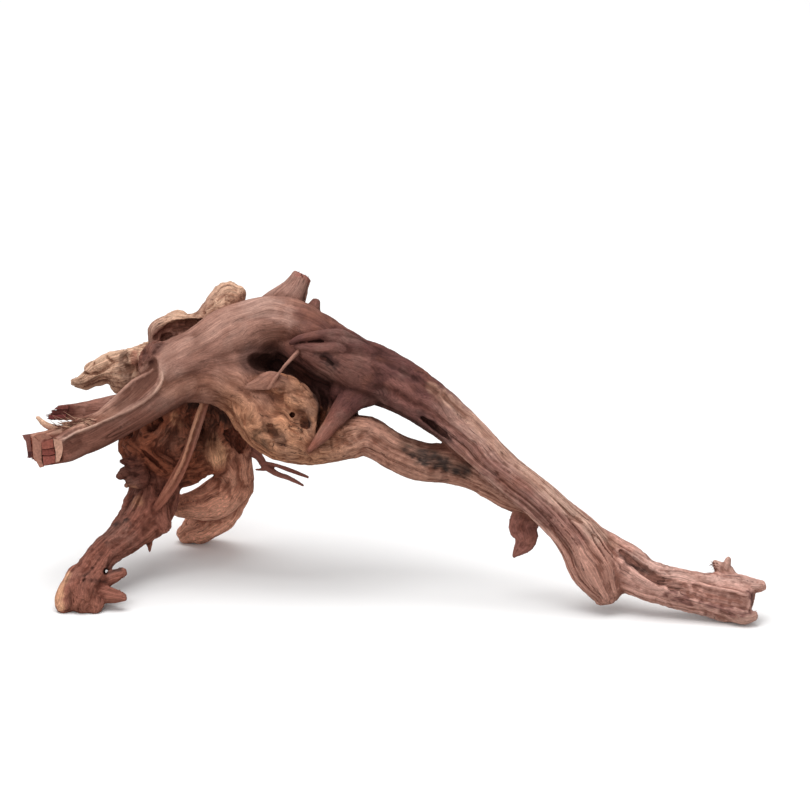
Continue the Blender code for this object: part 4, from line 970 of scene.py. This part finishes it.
# the snapped faces of two broken ends: outline in the front view, near and far depth, tone
slabs = {
    "plate": dict(near=9, far=17, tone=(0.22, 0.088, 0.072), outline=[(2.0, 152.1), (8.2, 152.9),
        (10.2, 135.0), (7.0, 134.2), (4.9, 147.2), (3.3, 148.8)]),
    "plate foot": dict(near=6.5, far=14, tone=(0.09, 0.028, 0.026), outline=[(6.4, 138.4), (10.4, 139.2),
        (10.7, 134.7), (6.7, 133.9)]),
    "block side": dict(near=-2, far=14, tone=(0.38, 0.175, 0.125), outline=[(10.4, 149.6), (11.4, 150.7),
        (17.8, 145.6), (17.8, 131.7), (19.5, 126.8), (16.3, 125.9), (13.4, 131.7), (11.4, 134.2)]),
    "block top": dict(near=2, far=14, tone=(0.36, 0.17, 0.12), outline=[(11.4, 151.0), (21.6, 153.1),
        (26.9, 149.4), (17.8, 146.1)]),
    "face top": dict(near=-4.4, far=8, tone=(0.31, 0.095, 0.068), outline=[(17.9, 145.9), (27.0, 149.0),
        (27.8, 142.1), (23.2, 141.1), (18.3, 140.6)]),
    "face middle": dict(near=-3.2, far=8, tone=(0.25, 0.066, 0.05), outline=[(18.4, 140.2), (23.2, 140.6),
        (28.0, 141.4), (28.6, 136.8), (24.0, 135.5), (18.6, 136.0)]),
    "face low": dict(near=-4.0, far=8, tone=(0.285, 0.083, 0.062), outline=[(18.7, 135.3), (24.0, 134.9),
        (28.6, 136.0), (29.0, 130.4), (19.7, 127.5)]),
    "pale band": dict(near=-6.6, far=3, tone=(0.52, 0.285, 0.205), outline=[(27.4, 149.1), (34.3, 147.4),
        (35.1, 141.4), (34.3, 135.8), (32.2, 131.0), (29.4, 130.2), (29.4, 138.2), (28.3, 143.2)]),
    "stub layer top": dict(near=50.4, far=60, tone=(0.17, 0.048, 0.038), outline=[(27.8, 174.2),
        (38.4, 175.8), (37.4, 172.6), (25.9, 172.3)]),
    "stub layer middle": dict(near=51.4, far=60, tone=(0.11, 0.028, 0.022), outline=[(25.4, 171.8),
        (37.3, 172.2), (36.5, 169.1), (23.5, 168.5)]),
    "stub layer low": dict(near=50.2, far=60, tone=(0.16, 0.036, 0.034), outline=[(23.2, 168.0),
        (36.3, 168.6), (35.7, 165.9), (21.2, 164.6)]),
}
slabStray = 0.25  # how far their corners stray


def slabSurface(spec):
    # The outline at its near and far depth, joined by a side face along each of its lines.
    outline = np.array(spec["outline"], dtype=float)
    turned = np.roll(outline, -1, axis=0)
    if (outline[:, 0] * turned[:, 1] - turned[:, 0] * outline[:, 1]).sum() < 0:
        outline = outline[::-1]
    count = len(outline)
    near, far = (np.column_stack([outline[:, 0], np.full(count, spec[side]), outline[:, 1]])
                 for side in ("near", "far"))
    sides = [[(k + 1) % count, k, k + count, (k + 1) % count + count] for k in range(count)]
    return np.vstack([near, far]), [list(range(count)), list(range(2 * count - 1, count - 1, -1))] + sides


def rootedAt(spec, rng, wood):
    # Random places near the broken end, moved to the closest point of the wood.
    starts = np.array(spec["at"]) + rng.uniform(-1, 1, (spec["count"], 3)) * np.array(spec["spread"])
    return np.array([wood.closest_point_on_mesh(list(start))[1] for start in starts])


def fraySurface(spec, rng, wood):
    # Each fibre is a four-sided spike: rings along a bent line, start + t L d + (t L)^2 b, with the
    # radius falling as 1 - (taper t)^power.
    count, rings, sides = spec["count"], strand["rings"], strand["sides"]
    start = rootedAt(spec, rng, wood)
    toward = np.array(spec["toward"]) + rng.normal(0, spec["splay"], (count, 3))
    toward /= np.linalg.norm(toward, axis=1)[:, None]
    bend = rng.normal(0, strand["bend"], (count, 3))
    length = spec["length"] * rng.uniform(strand["shortest"], 1, count)
    t = np.linspace(0, 1, rings)[None, :, None] * length[:, None, None]
    line = start[:, None] + (t - strand["sunk"]) * toward[:, None] + t ** 2 * bend[:, None]
    side = np.cross(toward, strand["slant"])
    side /= np.linalg.norm(side, axis=1)[:, None]
    other = np.cross(toward, side)
    thickness = spec["radius"] * rng.uniform(strand["thin"], strand["thick"], count)
    radius = thickness[:, None] * (1 - np.linspace(0, strand["taper"], rings) ** strand["power"])
    angle = np.arange(sides) * math.tau / sides
    circle = side[:, None] * np.cos(angle)[None, :, None] + other[:, None] * np.sin(angle)[None, :, None]
    points = line[:, :, None] + radius[:, :, None, None] * circle[:, None]
    fibre, ring, corner = np.meshgrid(np.arange(count), np.arange(rings - 1), np.arange(sides),
                                      indexing="ij")
    base = (fibre * rings + ring) * sides
    after = (corner + 1) % sides
    quads = np.stack([base + corner, base + after, base + sides + after, base + sides + corner], -1)
    starts = np.arange(count)[:, None] * rings * sides
    foot = starts + np.arange(sides)[::-1]
    tip = starts + (rings - 1) * sides + np.arange(sides)
    return points.reshape(-1, 3), np.vstack([quads.reshape(-1, 4), foot, tip])


def growFrays(wood):
    # The fibres, shaded smooth, and the snapped faces, shaded flat, in one mesh.
    rng = np.random.default_rng(strand["seed"])
    allPoints, faces, tones, start = [], [], [], 0
    for spec in frays.values():
        points, quads = fraySurface(spec, rng, wood)
        tone = np.array([woods[name]["tone"] for name in spec["wood"].split()])
        picked = tone[rng.integers(0, len(tone), spec["count"])]
        allPoints.append(points)
        faces += (quads + start).tolist()
        tones.append(np.repeat(picked, strand["rings"] * strand["sides"], axis=0))
        start += len(points)
    fibres = len(faces)
    for spec in slabs.values():
        points, sides = slabSurface(spec)
        allPoints.append(points + slabStray * strayBy(points, "snapped"))
        faces += [[corner + start for corner in side] for side in sides]
        tones.append(np.repeat([spec["tone"]], len(points), axis=0))
        start += len(points)
    points, tones = np.vstack(allPoints), np.vstack(tones)
    mesh = bpy.data.meshes.new("frayed fibres")
    mesh.from_pydata(standUp(points), [], faces)
    shade = strand["shade"] + strand["shadeRange"] * readField(points, "fibreShade")
    setTone(mesh, tones * shade[:, None])
    mesh.polygons.foreach_set("use_smooth", np.arange(len(faces)) < fibres)
    piece = bpy.data.objects.new("frayed_fibres", mesh)
    bpy.context.scene.collection.objects.link(piece)
    return piece


def addNode(tree, kind, inputs=None, **values):
    # Adds a node and sets its properties, then links or sets its sockets.
    node = tree.nodes.new(kind)
    for key, value in values.items():
        setattr(node, key, value)
    for socket, given in (inputs or {}).items():
        if isinstance(given, bpy.types.NodeSocket):
            tree.links.new(given, node.inputs[socket])
        else:
            node.inputs[socket].default_value = given
    return node


def maths(tree, operation, a, b=0.0, clamp=False):
    node = addNode(tree, "ShaderNodeMath", operation=operation, use_clamp=clamp, inputs={0: a, 1: b})
    return node.outputs[0]


def vectorMaths(tree, operation, inputs):
    return addNode(tree, "ShaderNodeVectorMath", operation=operation, inputs=inputs).outputs[0]


def spanned(tree, value, low, high, toLow, toHigh):
    return addNode(tree, "ShaderNodeMapRange", inputs={
        "Value": value, "From Min": low, "From Max": high, "To Min": toLow, "To Max": toHigh}).outputs[0]


def noiseAt(tree, place, scale, detail, roughness):
    return addNode(tree, "ShaderNodeTexNoise", inputs={
        "Vector": place, "Scale": scale, "Detail": detail, "Roughness": roughness}).outputs[0]


def scaledColour(tree, colour, amount):
    # The colour times a number.
    return vectorMaths(tree, "SCALE", {0: colour, "Scale": amount})


def tinted(tree, colour, share, low, high):
    # The colour times a tint that goes from low to high with the share.
    tint = addNode(tree, "ShaderNodeMix", data_type="VECTOR", inputs={0: share, 4: low, 5: high}).outputs[1]
    return vectorMaths(tree, "MULTIPLY", {0: colour, 1: tint})


def mixedColour(tree, share, a, b):
    return addNode(tree, "ShaderNodeMix", data_type="RGBA", inputs={0: share, 6: a, 7: b}).outputs[2]


def startGroup(name, inputs, outputs):
    # A new node group with its sockets; returns the group, what it is given and what it puts out.
    group = bpy.data.node_groups.new(name, "ShaderNodeTree")
    for label, kind, value in inputs:
        socket = group.interface.new_socket(label, in_out="INPUT", socket_type=kind)
        if value is not None:
            socket.default_value = value
    for label, kind in outputs:
        group.interface.new_socket(label, in_out="OUTPUT", socket_type=kind)
    return group, group.nodes.new("NodeGroupInput").outputs, group.nodes.new("NodeGroupOutput").inputs


# The grains are in millimetres, and shift sets each apart. A span maps its first two numbers to its
# last two: grain and noise to brightness, shares and roughness. The tints multiply the colour: the furrow
# and crest tints paint shade in furrows and highlights on worn crests, and the open and shelter tints paint
# light on open parts and shade where the sky is hidden.
driftwood = dict(
    broad=dict(length=110, width=2.6, detail=3, shift=3),
    fine=dict(length=90, width=0.9, detail=2, shift=17),
    hair=dict(length=60, width=0.5, detail=1, shift=29),
    split=dict(length=90, width=6, detail=1, shift=41), grainRoughness=0.6,
    blotch=dict(scale=24, detail=4, roughness=0.6), speckle=dict(scale=420, detail=2, roughness=0.6),
    greySpan=(0.52, 0.72, 0.0, 0.3), rustSpan=(0.46, 0.30, 0.0, 0.4),
    broadSpan=(0.34, 0.66, 0.76, 1.20), fineSpan=(0.32, 0.68, 0.70, 1.24), streakSpan=(0, 1, 0.55, 1.0),
    hairSpan=(0.3, 0.7, 0.86, 1.14), speckleSpan=(0.3, 0.7, 0.9, 1.1), wearAndShadeSpan=(0.15, 0.85, 0.0, 1.0),
    crackWidth=0.012, crackPlaces=(0.40, 0.54, 1.0, 0.0), crackSpan=(0.1, 0.7, 0.25, 0.9),
    threadWidth=0.02, threadSpan=(0, 1, 0.2, 0.5), roughSpan=(0.3, 0.7, 0.9, 0.74),
    furrowShadeTint=(0.62, 0.53, 0.50), crestWearAndHighlightTint=(1.33, 1.40, 1.44), paintedLightTint=(1.06, 1.09, 1.10),
    paintedShadeTint=(0.60, 0.47, 0.43), grey=(0.27, 0.17, 0.135, 1), rust=(0.26, 0.095, 0.055, 1),
    crack=(0.035, 0.014, 0.011, 1), specular=0.2,
    bump=0.8, bumpDistance=0.0008, hairBump=0.5, speckleBump=0.25, crackBump=0.9)


def fibreGrainGroup():
    # Noise stretched along the fibre, read in the coordinates of two growths and mixed by their share.
    group, given, out = startGroup("fibre grain", [
        ("Fibre A", "NodeSocketVector", None), ("Fibre B", "NodeSocketVector", None),
        ("Share", "NodeSocketFloat", 0.0), ("Length", "NodeSocketFloat", 50.0),
        ("Width", "NodeSocketFloat", 3.0), ("Detail", "NodeSocketFloat", 2.0),
        ("Shift", "NodeSocketFloat", 0.0)], [("Grain", "NodeSocketFloat")])
    shrink = addNode(group, "ShaderNodeCombineXYZ", inputs={
        0: maths(group, "DIVIDE", 1.0, given["Length"]), 1: maths(group, "DIVIDE", 1.0, given["Width"]),
        2: maths(group, "DIVIDE", 1.0, given["Width"])}).outputs[0]
    grains = []
    for source in ("Fibre A", "Fibre B"):
        scaled = vectorMaths(group, "MULTIPLY", {0: given[source], 1: shrink})
        moved = vectorMaths(group, "ADD", {0: scaled, 1: given["Shift"]})
        grains.append(noiseAt(group, moved, 1.0, given["Detail"], driftwood["grainRoughness"]))
    mixed = addNode(group, "ShaderNodeMix", inputs={0: given["Share"], 2: grains[0], 3: grains[1]})
    group.links.new(mixed.outputs[0], out["Grain"])
    return group


def thinLinesGroup():
    # Turns a grain into thin lines where it passes its middle: 1 - |grain - 0.5| / thickness.
    group, given, out = startGroup("thin lines", [
        ("Grain", "NodeSocketFloat", 0.5), ("Thickness", "NodeSocketFloat", 0.02)], [
        ("Line", "NodeSocketFloat")])
    away = maths(group, "ABSOLUTE", maths(group, "SUBTRACT", given["Grain"], 0.5))
    line = maths(group, "SUBTRACT", 1.0, maths(group, "DIVIDE", away, given["Thickness"]), clamp=True)
    group.links.new(line, out["Line"])
    return group


def driftwoodMaterial(grain, lines):
    # The tone times streaks of grain, specks, worn pale crests with painted highlights, and painted shade in
    # furrows and hidden hollows, with cracks and threads laid over it, and a bump of the same grains.
    look = driftwood
    material = bpy.data.materials.new("weathered driftwood")
    material.use_nodes = True
    tree = material.node_tree
    shader = tree.nodes["Principled BSDF"]
    reads = {name: addNode(tree, "ShaderNodeAttribute", attribute_name=name)
             for name in ("fibreA", "fibreB", "fibreShare", "tone", "paintedShade", "wearAndShade", "coarse")}
    place = addNode(tree, "ShaderNodeTexCoord").outputs["Object"]
    wearAndShade, paintedShade, coarse = (reads[name].outputs["Fac"] for name in ("wearAndShade", "paintedShade", "coarse"))

    def grainOf(name):
        spec = look[name]
        return addNode(tree, "ShaderNodeGroup", node_tree=grain, inputs={
            "Fibre A": reads["fibreA"].outputs["Vector"], "Fibre B": reads["fibreB"].outputs["Vector"],
            "Share": reads["fibreShare"].outputs["Fac"], "Length": spec["length"], "Width": spec["width"],
            "Detail": spec["detail"], "Shift": spec["shift"]}).outputs[0]

    def lineOf(value, thickness):
        return addNode(tree, "ShaderNodeGroup", node_tree=lines, inputs={
            "Grain": value, "Thickness": thickness}).outputs[0]

    def span(value, name):
        return spanned(tree, value, *look[name])

    def times(a, b):
        return maths(tree, "MULTIPLY", a, b)

    broad, fine, hair, split = (grainOf(name) for name in ("broad", "fine", "hair", "split"))
    blotch, speckle = (noiseAt(tree, place, **look[name]) for name in ("blotch", "speckle"))

    colour = reads["tone"].outputs["Color"]
    colour = mixedColour(tree, span(blotch, "greySpan"), colour, look["grey"])
    colour = mixedColour(tree, span(blotch, "rustSpan"), colour, look["rust"])
    streaks = addNode(tree, "ShaderNodeMix", inputs={
        0: span(coarse, "streakSpan"), 2: 1.0, 3: times(span(broad, "broadSpan"), span(fine, "fineSpan"))})
    colour = scaledColour(tree, colour, streaks.outputs[0])
    colour = scaledColour(tree, colour, span(hair, "hairSpan"))
    colour = scaledColour(tree, colour, span(speckle, "speckleSpan"))
    # worn pale crests with a painted highlight on them, and painted shade in the furrows
    colour = tinted(tree, colour, span(wearAndShade, "wearAndShadeSpan"), look["furrowShadeTint"], look["crestWearAndHighlightTint"])
    crack = times(lineOf(split, look["crackWidth"]), span(broad, "crackPlaces"))
    crack = times(crack, span(coarse, "crackSpan"))
    colour = mixedColour(tree, crack, colour, look["crack"])
    thread = times(lineOf(fine, look["threadWidth"]), span(coarse, "threadSpan"))
    colour = mixedColour(tree, thread, colour, look["crack"])
    # painted shade darkens and reddens hidden hollows, and painted light brightens the open parts a little
    colour = tinted(tree, colour, paintedShade, look["paintedLightTint"], look["paintedShadeTint"])
    tree.links.new(colour, shader.inputs["Base Color"])
    tree.links.new(span(broad, "roughSpan"), shader.inputs["Roughness"])
    shader.inputs["Specular IOR Level"].default_value = look["specular"]

    height = maths(tree, "ADD", fine, times(hair, look["hairBump"]))
    height = maths(tree, "ADD", height, times(speckle, look["speckleBump"]))
    height = maths(tree, "SUBTRACT", height, times(crack, look["crackBump"]))
    bump = addNode(tree, "ShaderNodeBump", inputs={
        "Strength": look["bump"], "Distance": look["bumpDistance"], "Height": height})
    tree.links.new(bump.outputs[0], shader.inputs["Normal"])
    return material


fibreLook = dict(speckle=dict(scale=600, detail=2, roughness=0.5), speckleSpan=(0.3, 0.7, 0.75, 1.25),
                 roughness=0.85, specular=0.25)


def frayMaterial():
    # The stored tone, made lighter and darker by a fine noise.
    material = bpy.data.materials.new("frayed wood")
    material.use_nodes = True
    tree = material.node_tree
    shader = tree.nodes["Principled BSDF"]
    tone = addNode(tree, "ShaderNodeAttribute", attribute_name="tone").outputs["Color"]
    place = addNode(tree, "ShaderNodeTexCoord").outputs["Object"]
    speckle = noiseAt(tree, place, **fibreLook["speckle"])
    colour = scaledColour(tree, tone, spanned(tree, speckle, *fibreLook["speckleSpan"]))
    tree.links.new(colour, shader.inputs["Base Color"])
    shader.inputs["Roughness"].default_value = fibreLook["roughness"]
    shader.inputs["Specular IOR Level"].default_value = fibreLook["specular"]
    return material


# middle is the point of the front view that the camera looks at, and frameWidth the picture's width
studio = dict(frameWidth=0.648, lens=500, sensor=36, farthest=200, middle=(308, 20, 176),
              key=dict(at=(-0.4, 0.0, 3.2), size=2.8, power=92),
              fill=dict(at=(-1.2, -3.1, 1.5), size=1.8, power=29), lightsAim=(0, 0, 0.1), sky=0.5,
              floorReach=20, floorTone=(0.96, 0.96, 0.96, 1), floorBounce=(0.5, 0.48, 0.46, 1),
              floorRoughness=0.95)


def setCamera():
    # The camera stands at distance = frame width * lens / sensor from the middle of the photograph.
    middle = standUp(np.array([studio["middle"]], dtype=float))[0]
    lean = stance["lean"]
    distance = studio["frameWidth"] * studio["lens"] / studio["sensor"]
    lens = bpy.data.cameras.new("camera")
    lens.lens = studio["lens"]
    lens.clip_end = studio["farthest"]
    camera = bpy.data.objects.new("camera", lens)
    camera.location = middle + distance * np.array([0, -math.cos(lean), math.sin(lean)])
    camera.rotation_euler = (math.radians(90) - lean, 0, 0)
    bpy.context.scene.collection.objects.link(camera)
    bpy.context.scene.camera = camera


def setLights():
    for name in ("key", "fill"):
        spec = studio[name]
        lamp = bpy.data.lights.new(name, "AREA")
        lamp.size = spec["size"]
        lamp.energy = spec["power"]
        light = bpy.data.objects.new(name, lamp)
        at = np.array(spec["at"])
        aim = np.array(studio["lightsAim"]) - at
        light.location = at
        light.rotation_euler = (math.acos(-aim[2] / np.linalg.norm(aim)), 0, math.atan2(-aim[0], aim[1]))
        bpy.context.scene.collection.objects.link(light)
    world = bpy.data.worlds.new("studio")
    world.use_nodes = True
    world.node_tree.nodes["Background"].inputs["Color"].default_value = (1, 1, 1, 1)
    world.node_tree.nodes["Background"].inputs["Strength"].default_value = studio["sky"]
    bpy.context.scene.world = world
    bpy.context.scene.view_settings.view_transform = "Standard"


def setFloor():
    # A pale floor that looks near white to the camera and sends a softer light back to the wood.
    reach = studio["floorReach"]
    ground = bpy.data.meshes.new("floor")
    ground.from_pydata([(-reach, -reach, 0), (reach, -reach, 0), (reach, reach, 0), (-reach, reach, 0)],
                       [], [(0, 1, 2, 3)])
    paint = bpy.data.materials.new("pale floor")
    paint.use_nodes = True
    tree = paint.node_tree
    shader = tree.nodes["Principled BSDF"]
    seen = addNode(tree, "ShaderNodeLightPath").outputs["Is Camera Ray"]
    tone = mixedColour(tree, seen, studio["floorBounce"], studio["floorTone"])
    tree.links.new(tone, shader.inputs["Base Color"])
    shader.inputs["Roughness"].default_value = studio["floorRoughness"]
    shader.inputs["Specular IOR Level"].default_value = 0.0
    ground.materials.append(paint)
    floor = bpy.data.objects.new("floor", ground)
    bpy.context.scene.collection.objects.link(floor)


growths = list(limbs.values()) + list(shards.values())
wood = growRoot()
carveRoot(wood, growths)
frayed = growFrays(wood)
markRoot(wood, growths)
wood.name = "driftwood_skin"
wood.data.materials.clear()
wood.data.materials.append(driftwoodMaterial(fibreGrainGroup(), thinLinesGroup()))
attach(wood, "root")
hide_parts("driftwood_root")
print("root finished")

frayed.data.materials.append(frayMaterial())
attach(frayed, "root")
print("fibres finished")

setCamera()
setLights()
setFloor()
print("studio set")
